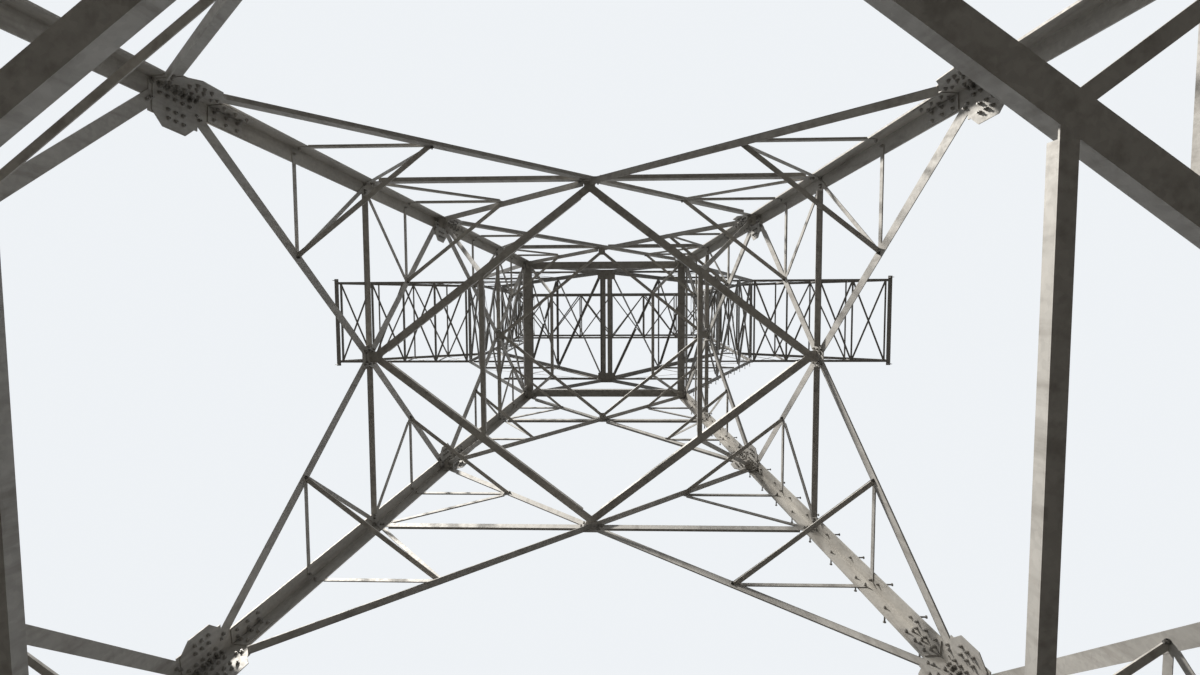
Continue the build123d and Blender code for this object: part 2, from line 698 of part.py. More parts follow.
def beam_bracing():
    """Bracing on the four sides of the top beam."""
    gauge = SLIM_WIDTH / 2
    count = BEAM_PANELS
    step = 2 * (BEAM_HALF_X - gauge) / count
    stations = [-BEAM_HALF_X + gauge + step * index for index in range(count + 1)]
    parts = []
    for z, up in ((BEAM_Z, -1), (BEAM_TOP_Z, 1)):
        reach = half_y(z) - gauge
        bars = []
        for index, x in enumerate(stations):
            bars.append(Bar(Vector(x, -reach, z), Vector(x, reach, z), REDUNDANT_WIDTH, None))
            if index:
                last = stations[index - 1]
                turn = 1 if index % 2 else -1
                bars.append(Bar(Vector(last, -turn * reach, z), Vector(x, turn * reach, z), REDUNDANT_WIDTH, None))
                if up < 0:
                    bars.append(Bar(Vector(last, turn * reach, z), Vector(x, -turn * reach, z), REDUNDANT_WIDTH, None))
        plane = Plane(origin=(0, 0, z), x_dir=(1, 0, 0), z_dir=(0, 0, up))
        parts.append(lattice(plane, bars, SLIM_THICK, thick=HEAD_BAR_THICK))
    for end in ENDS.values():
        bars = []
        for index, x in enumerate(stations):
            low = head_point(x, end, BEAM_Z + gauge)
            high = head_point(x, end, BEAM_TOP_Z - gauge)
            bars.append(Bar(low, high, REDUNDANT_WIDTH, None))
            if index:
                a, b = (last_low, high) if index % 2 else (last_high, low)
                bars.append(Bar(a, b, REDUNDANT_WIDTH, None))
            last_low, last_high = low, high
        parts.append(lattice(head_plane(end), bars, SLIM_THICK, thick=HEAD_BAR_THICK))
    return joined(parts)


def peak(side):
    """Earth wire peak on one end of the top beam: four angles that meet at the tip, with lacing between."""
    tip = Vector(side * PEAK_X, 0, PEAK_Z)
    top_z = PEAK_Z - CHORD_WIDTH
    corners = {}
    for end in ENDS.values():
        for away, x in ((-1, BEAM_INNER_X), (1, BEAM_HALF_X)):
            corners[away, end] = Vector(side * x, end * half_y(BEAM_TOP_Z), BEAM_TOP_Z)
    walls = {}
    for sign in (-1, 1):
        outside = Vector(side * BEAM_HALF_X, sign * 2 * WAIST_HALF_Y, BEAM_TOP_Z)
        walls["y", sign] = plane_of(corners[-1, sign], corners[1, sign], tip, outside)
        outside = Vector(side * (BEAM_HALF_X + sign * WAIST_HALF_X), 0, BEAM_TOP_Z)
        walls["x", sign] = plane_of(corners[sign, -1], corners[sign, 1], tip, outside)
    with BuildPart() as whole:
        for (away, end), base in corners.items():
            outward_x, outward_y = walls["x", away].z_dir, walls["y", end].z_dir
            add(corner_angle(base, tip, outward_x, outward_y, REDUNDANT_WIDTH, BAR_THICK,
                             (below(BEAM_TOP_Z), above(top_z))))
        for sign in (-1, 1):
            add(peak_lacing(walls["y", sign], corners[-1, sign], corners[1, sign], tip))
            add(peak_lacing(walls["x", sign], corners[sign, -1], corners[sign, 1], tip))
        with BuildSketch(Plane.XY.offset(top_z - BAR_THICK / 2)):
            with Locations((side * (PEAK_X - REDUNDANT_WIDTH / 2), 0)):
                Rectangle(CHORD_WIDTH, CHORD_WIDTH)
        extrude(amount=BAR_THICK)
    return whole.part


def peak_lacing(plane, corner_a, corner_b, tip):
    """Zigzag bars with level ones between, on one side of a peak."""
    bars = []
    last = None
    for index, share in enumerate(PEAK_STATIONS):
        a, b = (line_between(corner, tip, share) for corner in (corner_a, corner_b))
        across = (b - a).normalized() * (REDUNDANT_WIDTH / 2)
        pair = (a + across, b - across)
        bars.append(Bar(pair[0], pair[1], PEAK_BAR_WIDTH, None))
        if last:
            bars.append(Bar(last[index % 2], pair[1 - index % 2], PEAK_BAR_WIDTH, None))
        last = pair
    return lattice(plane, bars, BAR_THICK)


save(waist_frame(), "waist_frame")
save(fork_root(), "fork_root")
save(beam_chords(), "top_beam_chords")
save(beam_bracing(), "top_beam_bracing")

for sx_name, sx in SIDES.items():
    for sy_name, sy in ENDS.items():
        save(body_leg(sx, sy), f"{sy_name}_{sx_name}_leg")
        save(foot(sx, sy), f"{sy_name}_{sx_name}_foot")

for face in FACES:
    save(body_panel(face, FOOT_Z, LOW_Z), f"{face}_base_bracing")
    save(body_panel(face, LOW_Z, MID_Z), f"{face}_middle_bracing")
    save(body_panel(face, MID_Z, WAIST_Z), f"{face}_upper_bracing")

base_plan = plan_bracing(FOOT_Z, LOW_Z, BASE_PLAN_WIDTH, False)
middle_plan = plan_bracing(LOW_Z, MID_Z, DIAGONAL_WIDTH, True)
upper_plan = plan_bracing(MID_Z, WAIST_Z, LACING_WIDTH, True)
save(joined([base_plan, hip_bracing(FOOT_Z, LOW_Z)]), "base_plan_bracing")
save(joined([middle_plan, hip_bracing(LOW_Z, MID_Z)]), "middle_plan_bracing")
save(joined([upper_plan, hip_bracing(MID_Z, WAIST_Z)]), "upper_plan_bracing")

for name, side in SIDES.items():
    save(fork_chords(side), f"{name}_fork_chords")
    save(fork_sides(side), f"{name}_fork_sides")
    save(fork_cross(side), f"{name}_fork_cross_bracing")
    save(column_chords(side), f"{name}_column_chords")
    save(column_bracing(side), f"{name}_column_bracing")
    save(arm_chords(side), f"{name}_arm_chords")
    save(arm_bracing(side), f"{name}_arm_bracing")
    save(arm_tip(side), f"{name}_arm_tip")
    save(peak(side), f"{name}_earth_wire_peak")
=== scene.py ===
"""Looks of a lattice transmission tower of galvanised steel, seen from inside its body, looking up."""

import json
import logging
import math
from dataclasses import dataclass, field
from enum import Enum
from typing import Callable

import bmesh
import bpy
from bpy.types import Material, Node, NodeSocket, NodeTree, Object
from mathutils import Matrix, Vector


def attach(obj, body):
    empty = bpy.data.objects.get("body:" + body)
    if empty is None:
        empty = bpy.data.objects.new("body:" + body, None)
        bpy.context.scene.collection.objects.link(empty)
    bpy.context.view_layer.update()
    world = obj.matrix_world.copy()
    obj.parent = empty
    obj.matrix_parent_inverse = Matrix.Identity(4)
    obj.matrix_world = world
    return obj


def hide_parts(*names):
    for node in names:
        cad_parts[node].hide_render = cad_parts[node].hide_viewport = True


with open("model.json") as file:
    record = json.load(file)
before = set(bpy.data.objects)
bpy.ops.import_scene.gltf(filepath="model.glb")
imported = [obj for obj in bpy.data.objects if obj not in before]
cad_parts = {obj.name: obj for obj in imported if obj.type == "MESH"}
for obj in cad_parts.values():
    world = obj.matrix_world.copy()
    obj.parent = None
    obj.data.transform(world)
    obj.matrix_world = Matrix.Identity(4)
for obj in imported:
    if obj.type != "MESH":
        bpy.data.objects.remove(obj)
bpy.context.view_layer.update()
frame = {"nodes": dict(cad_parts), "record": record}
LOG = logging.getLogger("tower")

Run = tuple[Vector, Vector]
Size = tuple[float, float, float]
Colour = tuple[float, float, float]
Row = tuple[float, ...]

UP = Vector((0.0, 0.0, 1.0))
SIDES = (-1, 1)
BODY_SLOT = "body_bracing_steel"
HEAD_SLOT = "head_bracing_steel"
HEXAGON = 6
SHANK_SIDES = 8
ROUND_SIDES = 12
WASHER_SIDES = 16
# How far a shape reaches into the one that it stands on
SEAT = 0.001


class Corner(Enum):
    """The four legs of the body, as the signs of X and Y."""

    FRONT_LEFT = (-1, -1)
    FRONT_RIGHT = (1, -1)
    BACK_LEFT = (-1, 1)
    BACK_RIGHT = (1, 1)


class Face(Enum):
    """The four sides of the body, as the X and Y of their outward direction."""

    FRONT = (0, -1)
    BACK = (0, 1)
    LEFT = (-1, 0)
    RIGHT = (1, 0)


class Panel(Enum):
    """The three panels of the body, from the ground up."""

    BASE = 0
    MIDDLE = 1
    UPPER = 2


def between(at: float, start: float, end: float, low: float, high: float) -> float:
    """Value that goes evenly from low at the start to high at the end."""
    return low + (high - low) * ((at - start) / (end - start))


@dataclass(frozen=True)
class TowerSizes:
    """The sizes of the steel frame that the dressing is set against, in metres."""

    foot_z: float = 0.040
    low_z: float = 7.400
    mid_z: float = 13.100
    waist_z: float = 18.700
    crotch_z: float = 21.400
    fork_mid_z: float = 23.700
    arm_z: float = 25.300
    arm_top_z: float = 27.600
    beam_z: float = 34.000
    beam_top_z: float = 35.300
    peak_z: float = 38.900
    waist_half_x: float = 2.280
    waist_half_y: float = 1.940
    lean_x: float = 0.130
    lean_y: float = 0.080
    head_lean_y: float = 0.046
    crotch_half_x: float = 0.140
    elbow_x: float = 5.680
    inner_elbow_x: float = 4.750
    beam_half_x: float = 5.300
    beam_inner_x: float = 4.400
    tip_x: float = 11.000
    peak_x: float = 6.000
    leg_width: float = 0.200
    leg_thick: float = 0.020
    chord_width: float = 0.120
    chord_thick: float = 0.010
    slim_width: float = 0.090
    slim_thick: float = 0.008
    diagonal_width: float = 0.110
    lacing_width: float = 0.070
    redundant_width: float = 0.060
    bar_thick: float = 0.010
    head_bar_thick: float = 0.007
    node_gap: float = 0.130
    end_gap: float = 0.100
    base_plan_width: float = 0.140
    column_panels: int = 4
    arm_panels: int = 4
    beam_panels: int = 6
    peak_stations: Row = (0.04, 0.44, 0.74)
    tip_bar_width: float = 0.160

    @property
    def panels(self) -> tuple[tuple[float, float], ...]:
        """Bottom and top height of each of the body's three panels."""
        return (self.foot_z, self.low_z), (self.low_z, self.mid_z), (self.mid_z, self.waist_z)

    def half_x(self, z: float) -> float:
        """Half the body's width along X at a height."""
        return self.waist_half_x + self.lean_x * (self.waist_z - z)

    def half_y(self, z: float) -> float:
        """Half the tower's depth along Y at a height."""
        lean = self.lean_y if z < self.waist_z else self.head_lean_y
        return self.waist_half_y + lean * (self.waist_z - z)

    def face_half(self, face: Face, z: float) -> float:
        """Half the width of a body face at a height."""
        return self.half_x(z) if face.value[1] else self.half_y(z)

    def face_point(self, face: Face, along: float, z: float) -> Vector:
        """Point of a body face at a height and at a distance along it from its middle."""
        nx, ny = face.value
        return Vector((along, ny * self.half_y(z), z) if ny else (nx * self.half_x(z), along, z))

    def face_normal(self, face: Face) -> Vector:
        """Outward normal of a body face."""
        nx, ny = face.value
        return Vector((nx, ny, self.lean_x if nx else self.lean_y)).normalized()

    def leg_gauge(self, z: float, face: Face) -> float:
        """Distance from a face's middle to the line where its bars are bolted to the leg."""
        return self.face_half(face, z) - self.leg_width / 2

    def crossing_level(self, low: float, high: float) -> float:
        """Height where the diagonals of a panel cross, the mean of a wide and a narrow face."""
        ends = [(self.leg_gauge(low, face), self.leg_gauge(high, face)) for face in (Face.FRONT, Face.LEFT)]
        return sum(low + (high - low) * wide / (wide + narrow) for wide, narrow in ends) / 2

    def outer_x(self, z: float) -> float:
        """Distance of the fork's and the column's outer chord from the middle."""
        upper = (self.arm_z, self.beam_z, self.elbow_x, self.beam_half_x)
        return between(z, *(upper if z > self.arm_z else (self.waist_z, self.arm_z, self.waist_half_x, self.elbow_x)))

    def inner_x(self, z: float) -> float:
        """Distance of the fork's and the column's inner chord from the middle."""
        lower = (self.crotch_z, self.arm_top_z, self.crotch_half_x, self.inner_elbow_x)
        return between(z, *(lower if z <= self.arm_top_z else (self.arm_top_z, self.beam_z, self.inner_elbow_x,
                                                               self.beam_inner_x)))

    def head_point(self, x: float, end: int, z: float) -> Vector:
        """Point of the head's front or back face."""
        return Vector((x, end * self.half_y(z), z))

    def head_normal(self, end: int) -> Vector:
        """Outward normal of the head's front or back face."""
        return Vector((0.0, end, self.head_lean_y)).normalized()

    def arm_top_at(self, x: float) -> float:
        """Height of an arm's upper chord at a distance from the middle."""
        root, tip = self.outer_x(self.arm_top_z), self.arm_z + self.chord_width
        return self.arm_top_z + (tip - self.arm_top_z) * (x - root) / (self.tip_x - root)


@dataclass(frozen=True)
class ZincFinish:
    """One age and shade of hot dip galvanising."""

    name: str
    zinc: Colour
    dark: Colour
    chalk: Colour
    metallic: float = 0.25
    smooth: float = 0.62
    rough: float = 0.78
    crystal: float = 34.0
    stain: float = 0.45
    bloom: float = 0.35
    tones: tuple[float, float] = (0.93, 1.07)
    bump_strength: float = 0.25
    bump_height: float = 0.001


SLOT_ZINC = {
    "leg_steel": ZincFinish("leg_zinc", (0.395, 0.378, 0.346), (0.150, 0.130, 0.108), (0.540, 0.520, 0.482)),
    "chord_steel": ZincFinish("chord_zinc", (0.285, 0.275, 0.257), (0.112, 0.099, 0.086), (0.425, 0.411, 0.387)),
    BODY_SLOT: ZincFinish("body_bracing_zinc", (0.385, 0.370, 0.343), (0.150, 0.131, 0.111), (0.530, 0.512, 0.480)),
    HEAD_SLOT: ZincFinish("head_bracing_zinc", (0.262, 0.254, 0.239), (0.106, 0.095, 0.084), (0.392, 0.380, 0.358)),
    "foot_steel": ZincFinish("foot_zinc", (0.300, 0.286, 0.264), (0.140, 0.116, 0.092), (0.440, 0.422, 0.392),
                             stain=0.6),
    "hanger_steel": ZincFinish("hanger_zinc", (0.320, 0.311, 0.294), (0.130, 0.116, 0.102), (0.470, 0.456, 0.430)),
}
BOLT_ZINC = ZincFinish("bolt_zinc", (0.290, 0.278, 0.258), (0.120, 0.102, 0.084), (0.430, 0.414, 0.386),
                       metallic=0.4, smooth=0.48, rough=0.66, crystal=120.0)


def feed(tree: NodeTree, node: Node, inputs: dict[str | int, object]) -> None:
    """Set a node's inputs.

    Args:
        tree: its node tree.
        node: the node.
        inputs: a plain value for each input, or the socket that it is linked to.
    """
    for label, value in inputs.items():
        if isinstance(value, NodeSocket):
            tree.links.new(value, node.inputs[label])
        else:
            node.inputs[label].default_value = value


def add_node(tree: NodeTree, kind: str, inputs: dict[str | int, object] | None = None, **settings: object) -> Node:
    """Add a shader node.

    Args:
        tree: the node tree.
        kind: the node's type, without its ShaderNode prefix.
        inputs: values or sockets for its inputs.
        settings: its own properties, such as its operation.

    Returns:
        The node.
    """
    node = tree.nodes.new("ShaderNode" + kind)
    for label, value in settings.items():
        setattr(node, label, value)
    feed(tree, node, inputs or {})
    return node


@dataclass(frozen=True)
class WeatherBand:
    """One weathering mask: noise stretched along an object, and cut to a band."""

    output: str
    stretch: Size
    scale: float
    low: float
    high: float


class SteelShader:
    """Builds the shared node groups and the materials of the zinc finishes."""

    BANDS: tuple[WeatherBand, ...] = (WeatherBand("Runs", (1.0, 1.0, 0.12), 9.0, 0.46, 0.72),
                                      WeatherBand("Bloom", (1.0, 1.0, 0.6), 2.3, 0.44, 0.70),
                                      WeatherBand("Dust", (1.0, 1.0, 1.0), 21.0, 0.35, 0.75))

    def __init__(self) -> None:
        """Make the groups once, for every finish."""
        self.crystals: NodeTree = self._crystals()
        self.weather: NodeTree = self._weather()

    @staticmethod
    def _group(name: str, inputs: dict[str, str], outputs: tuple[str, ...]) -> NodeTree:
        """Make an empty shader node group.

        Args:
            name: the group's name.
            inputs: socket names with their socket types.
            outputs: names of its sockets for masks and values.

        Returns:
            The group, with its input node named "in" and its output node named "out".
        """
        tree = bpy.data.node_groups.new(name, "ShaderNodeTree")
        for label, kind in inputs.items():
            tree.interface.new_socket(name=label, in_out="INPUT", socket_type=kind)
        for label in outputs:
            tree.interface.new_socket(name=label, in_out="OUTPUT", socket_type="NodeSocketFloat")
        tree.nodes.new("NodeGroupInput").name = "in"
        tree.nodes.new("NodeGroupOutput").name = "out"
        return tree

    def _crystals(self) -> NodeTree:
        """Zinc crystals: a tone for each crystal, and a fine height for the bump.

        Returns:
            The node group.
        """
        tree = self._group("zinc_crystals", {"Vector": "NodeSocketVector", "Scale": "NodeSocketFloat"},
                           ("Tone", "Height"))
        place, scale = (tree.nodes["in"].outputs[label] for label in ("Vector", "Scale"))
        cells = add_node(tree, "TexVoronoi", {"Vector": place, "Scale": scale})
        split = add_node(tree, "SeparateColor", {"Color": cells.outputs["Color"]}).outputs
        fine = add_node(tree, "Math", {0: scale, 1: 3.0}, operation="MULTIPLY")
        grain = add_node(tree, "TexNoise", {"Vector": place, "Scale": fine.outputs[0], "Detail": 4.0})
        height = add_node(tree, "Mix", {"Factor": 0.6, "A": split["Green"], "B": grain.outputs["Fac"]},
                          data_type="FLOAT")
        feed(tree, tree.nodes["out"], {"Tone": split["Red"], "Height": height.outputs["Result"]})
        return tree

    def _weather(self) -> NodeTree:
        """Weathering: dark runs that follow the rain down, a pale bloom in patches, and dust.

        Returns:
            The node group.
        """
        tree = self._group("zinc_weather", {"Vector": "NodeSocketVector"}, ("Runs", "Bloom", "Dust"))
        for band in self.BANDS:
            turn = add_node(tree, "Mapping", {"Vector": tree.nodes["in"].outputs["Vector"], "Scale": band.stretch})
            noise = add_node(tree, "TexNoise", {"Vector": turn.outputs["Vector"], "Scale": band.scale,
                                                "Detail": 5.0, "Roughness": 0.6})
            cut = add_node(tree, "MapRange", {"Value": noise.outputs["Fac"], "From Min": band.low,
                                              "From Max": band.high}, interpolation_type="SMOOTHSTEP")
            feed(tree, tree.nodes["out"], {band.output: cut.outputs["Result"]})
        return tree

    def material(self, finish: ZincFinish) -> Material:
        """Make the material of one finish.

        Args:
            finish: its colours and roughness.

        Returns:
            The material.
        """
        steel = bpy.data.materials.new(finish.name)
        steel.use_nodes = True
        tree = steel.node_tree
        place = add_node(tree, "TexCoord").outputs["Object"]
        crystals = add_node(tree, "Group", node_tree=self.crystals)
        feed(tree, crystals, {"Vector": place, "Scale": finish.crystal})
        weather = add_node(tree, "Group", {"Vector": place}, node_tree=self.weather).outputs
        dull, bright = ((*(channel * tone for channel in finish.zinc), 1.0) for tone in finish.tones)
        colour = add_node(tree, "Mix", {"Factor": crystals.outputs["Tone"], "A": dull, "B": bright},
                          data_type="RGBA").outputs["Result"]
        for mask, amount, layer in (("Bloom", finish.bloom, finish.chalk), ("Runs", finish.stain, finish.dark)):
            share = add_node(tree, "Math", {0: weather[mask], 1: amount}, operation="MULTIPLY")
            colour = add_node(tree, "Mix", {"Factor": share.outputs[0], "A": colour, "B": (*layer, 1.0)},
                              data_type="RGBA").outputs["Result"]
        shine = add_node(tree, "MapRange", {"Value": weather["Dust"], "To Min": finish.smooth,
                                            "To Max": finish.rough})
        bump = add_node(tree, "Bump", {"Height": crystals.outputs["Height"], "Strength": finish.bump_strength,
                                       "Distance": finish.bump_height})
        feed(tree, tree.nodes["Principled BSDF"],
             {"Base Color": colour, "Metallic": finish.metallic, "Roughness": shine.outputs["Result"],
              "Normal": bump.outputs["Normal"]})
        return steel


class Finishes:
    """All the zinc finishes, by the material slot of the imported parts."""

    def __init__(self) -> None:
        """Make one material for each slot, and one for the bolts."""
        shader = SteelShader()
        self.by_slot: dict[str, Material] = {slot: shader.material(zinc) for slot, zinc in SLOT_ZINC.items()}
        self.bolt: Material = shader.material(BOLT_ZINC)

    def dress_nodes(self) -> int:
        """Give every carried-over node the finish of its slot.

        Returns:
            How many nodes were dressed.
        """
        slots = {part["node"]: part["material_slot"] for part in frame["record"]["subparts"]}
        for name, node in frame["nodes"].items():
            for slot in node.material_slots:
                slot.material = self.by_slot[slots[name]]
        return len(frame["nodes"])


class BoltKind(Enum):
    """Sizes of hexagons, in metres: radius to a corner, height, washer and thread beyond a nut."""

    HEAD_20 = (0.0173, 0.0125, 0.003, 0.0)
    NUT_20 = (0.0173, 0.0180, 0.003, 0.016)
    NUT_36 = (0.0318, 0.0310, 0.006, 0.060)

    def __init__(self, radius: float, height: float, washer: float, thread: float) -> None:
        """Name the sizes."""
        self.radius, self.height, self.washer, self.thread = radius, height, washer, thread


class PieceMaker:
    """Collects small steel shapes into one mesh."""

    SHARE: int = 400
    WASHER_REACH: float = 1.16
    THREAD_REACH: float = 0.56
    HEXAGON_ROOT: float = 0.5
    THREAD_ROOT: float = 0.9

    def __init__(self, name: str, slot: str, bolts: bool = False, node: str = "") -> None:
        """Start an empty piece.

        Args:
            name: the piece's name.
            slot: the record's material slot that it stands for.
            bolts: whether it has the bolts' finish, and not the slot's own.
            node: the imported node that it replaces, if any.
        """
        self.name, self.slot, self.bolts, self.node = name, slot, bolts, node
        self.bm = bmesh.new()
        self.done: list[bpy.types.Mesh] = []

    def _put_aside(self) -> None:
        """Move the shapes made so far into a mesh of their own, so that new ones are added quickly."""
        self.done.append(bpy.data.meshes.new(self.name + "_share"))
        self.bm.to_mesh(self.done[-1])
        self.bm.clear()

    def rod(self, start: Vector, end: Vector, radius: float, sides: int) -> None:
        """Add a closed round or many-sided rod.

        Args:
            start: middle of its first end.
            end: middle of its other end.
            radius: from its middle to its corners.
            sides: number of its sides.
        """
        run = end - start
        turn = run.to_track_quat("Z", "Y").to_matrix().to_4x4()
        bmesh.ops.create_cone(self.bm, cap_ends=True, cap_tris=False, segments=sides, radius1=radius, radius2=radius,
                              depth=run.length, matrix=Matrix.Translation((start + end) / 2) @ turn)
        if len(self.bm.faces) > self.SHARE:
            self._put_aside()

    def plate(self, spot: Vector, along: Vector, normal: Vector, size: Size) -> None:
        """Add a flat plate.

        Args:
            spot: its middle.
            along: direction of its first side.
            normal: direction that it faces.
            size: its lengths along its first side, along its second side, and its thickness.
        """
        ahead = along.normalized()
        up = (normal - ahead * normal.dot(ahead)).normalized()
        turn = Matrix((ahead, up.cross(ahead), up)).transposed().to_4x4()
        place = Matrix.Translation(spot) @ turn
        bmesh.ops.create_cube(self.bm, size=1.0, matrix=place @ Matrix.Diagonal((*size, 1.0)))

    def clipped_plate(self, spot: Vector, sides: Run, size: Size, clip: float) -> None:
        """Add a flat plate with its two far corners cut off.

        Args:
            spot: its middle.
            sides: direction of its first side, and the direction that the cut corners lie in.
            size: its lengths along its first side, along its second side, and its thickness.
            clip: how much the corners are cut back.
        """
        up = sides[0].normalized()
        far = (sides[1] - up * sides[1].dot(up)).normalized()
        half, reach = size[0] / 2, size[1] / 2
        outline = ((-half, -reach), (half, -reach), (half, reach - clip), (half - clip, reach),
                   (clip - half, reach), (-half, reach - clip))
        normal = up.cross(far)
        low, top = ([self.bm.verts.new(spot + up * a + far * b + normal * rise) for a, b in outline]
                    for rise in (-size[2] / 2, size[2] / 2))
        # Face by face, because the extrude operator gives the sides in another order each run.
        self.bm.faces.new(low[::-1])
        self.bm.faces.new(top)
        for index in range(-1, len(low) - 1):
            self.bm.faces.new((low[index], low[index + 1], top[index + 1], top[index]))

    def strip(self, run: Run, normal: Vector, size: tuple[float, float],
              shift: tuple[float, float] = (0.0, 0.0), trim: float = 0.0) -> None:
        """Add a flat bar along a line.

        Args:
            run: the line's two ends.
            normal: direction that its flat side faces.
            size: its width and its thickness.
            shift: how far it is moved sideways, and along the normal.
            trim: how much is left off at each end.
        """
        start, end = run
        ahead = (end - start).normalized()
        up = (normal - ahead * normal.dot(ahead)).normalized()
        spot = (start + end) / 2 + up.cross(ahead) * shift[0] + up * shift[1]
        self.plate(spot, ahead, up, ((end - start).length - 2 * trim, *size))

    def bolt(self, spot: Vector, normal: Vector, kind: BoltKind) -> None:
        """Add a hexagon with its washer and, for a nut, the end of its thread.

        Args:
            spot: where it sits on the steel.
            normal: direction that it sticks out in.
            kind: its sizes.
        """
        out = normal.normalized()
        top = kind.washer + kind.height
        self.rod(spot - out * SEAT, spot + out * kind.washer, kind.radius * self.WASHER_REACH, ROUND_SIDES)
        self.rod(spot + out * kind.washer * self.HEXAGON_ROOT, spot + out * top, kind.radius, HEXAGON)
        if kind.thread:
            self.rod(spot + out * top * self.THREAD_ROOT, spot + out * (top + kind.thread),
                     kind.radius * self.THREAD_REACH, SHANK_SIDES)

    def finish(self, finishes: Finishes) -> Object:
        """Make the object, dress it and let it ride on the tower.

        Args:
            finishes: the zinc finishes.

        Returns:
            The finished object.
        """
        mesh = bpy.data.meshes.new(self.name)
        self._put_aside()
        for share in self.done:
            self.bm.from_mesh(share)
            bpy.data.meshes.remove(share)
        bmesh.ops.recalc_face_normals(self.bm, faces=self.bm.faces)
        self.bm.to_mesh(mesh)
        self.bm.free()
        mesh.materials.append(finishes.bolt if self.bolts else finishes.by_slot[self.slot])
        piece = bpy.data.objects.new(self.name, mesh)
        bpy.context.scene.collection.objects.link(piece)
        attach(piece, "root")
        if self.node:
            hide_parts(self.node)
        return piece


def own_piece(name: str, slot: str, bolts: bool = False) -> PieceMaker:
    """Field of a sub-assembly that holds one of its pieces."""
    return field(init=False, default_factory=lambda: PieceMaker(name, slot, bolts))


@dataclass
class Assembly:
    """A sub-assembly of small steel, which holds its pieces as attributes."""

    sizes: TowerSizes

    def shape(self) -> None:
        """Add its steel to its pieces."""
        raise NotImplementedError

    def pieces(self) -> list[PieceMaker]:
        """Shape the sub-assembly, and give its pieces."""
        self.shape()
        return [piece for piece in vars(self).values() if isinstance(piece, PieceMaker)]


@dataclass(frozen=True)
class BodyPanel:
    """The lines of one face's bracing between two panel points."""

    sizes: TowerSizes
    face: Face
    part: Panel
    low: float
    high: float

    @property
    def level(self) -> float:
        """Height of the crossing."""
        return self.sizes.crossing_level(self.low, self.high)

    @property
    def middle(self) -> Vector:
        """Crossing point of the diagonals."""
        return self.sizes.face_point(self.face, 0.0, self.level)

    @property
    def normal(self) -> Vector:
        """Outward normal of the face."""
        return self.sizes.face_normal(self.face)

    def from_edge(self, side: int, z: float, inset: float) -> Vector:
        """Point of the face at a distance in from its edge on side -1 or 1."""
        return self.sizes.face_point(self.face, side * (self.sizes.face_half(self.face, z) - inset), z)

    def on_leg(self, side: int, z: float) -> Vector:
        """Point on the bolt line of one leg."""
        return self.sizes.face_point(self.face, side * self.sizes.leg_gauge(z, self.face), z)

    def diagonal_ends(self, side: int) -> Run:
        """Lower and upper end of the diagonals on one leg."""
        gap = self.sizes.node_gap
        return self.on_leg(side, self.low + gap), self.on_leg(side, self.high - gap)

    def short_bars(self) -> list[Run]:
        """Both ends of each short bar between the diagonals and the legs."""
        nodes = [(side, (end + self.middle) / 2) for side in SIDES for end in self.diagonal_ends(side)]
        return [(node, self.on_leg(side, z)) for side, node in nodes for z in (node.z, self.level)]


def body_panels(sizes: TowerSizes) -> list[BodyPanel]:
    """All panels of the body's four faces."""
    return [BodyPanel(sizes, face, part, *sizes.panels[part.value]) for face in Face for part in Panel]


@dataclass(frozen=True)
class AngleSection:
    """Section of a bracing angle: its width against the face, and its second flange's height and thickness."""

    width: float
    flange: float
    thick: float
    skins: int


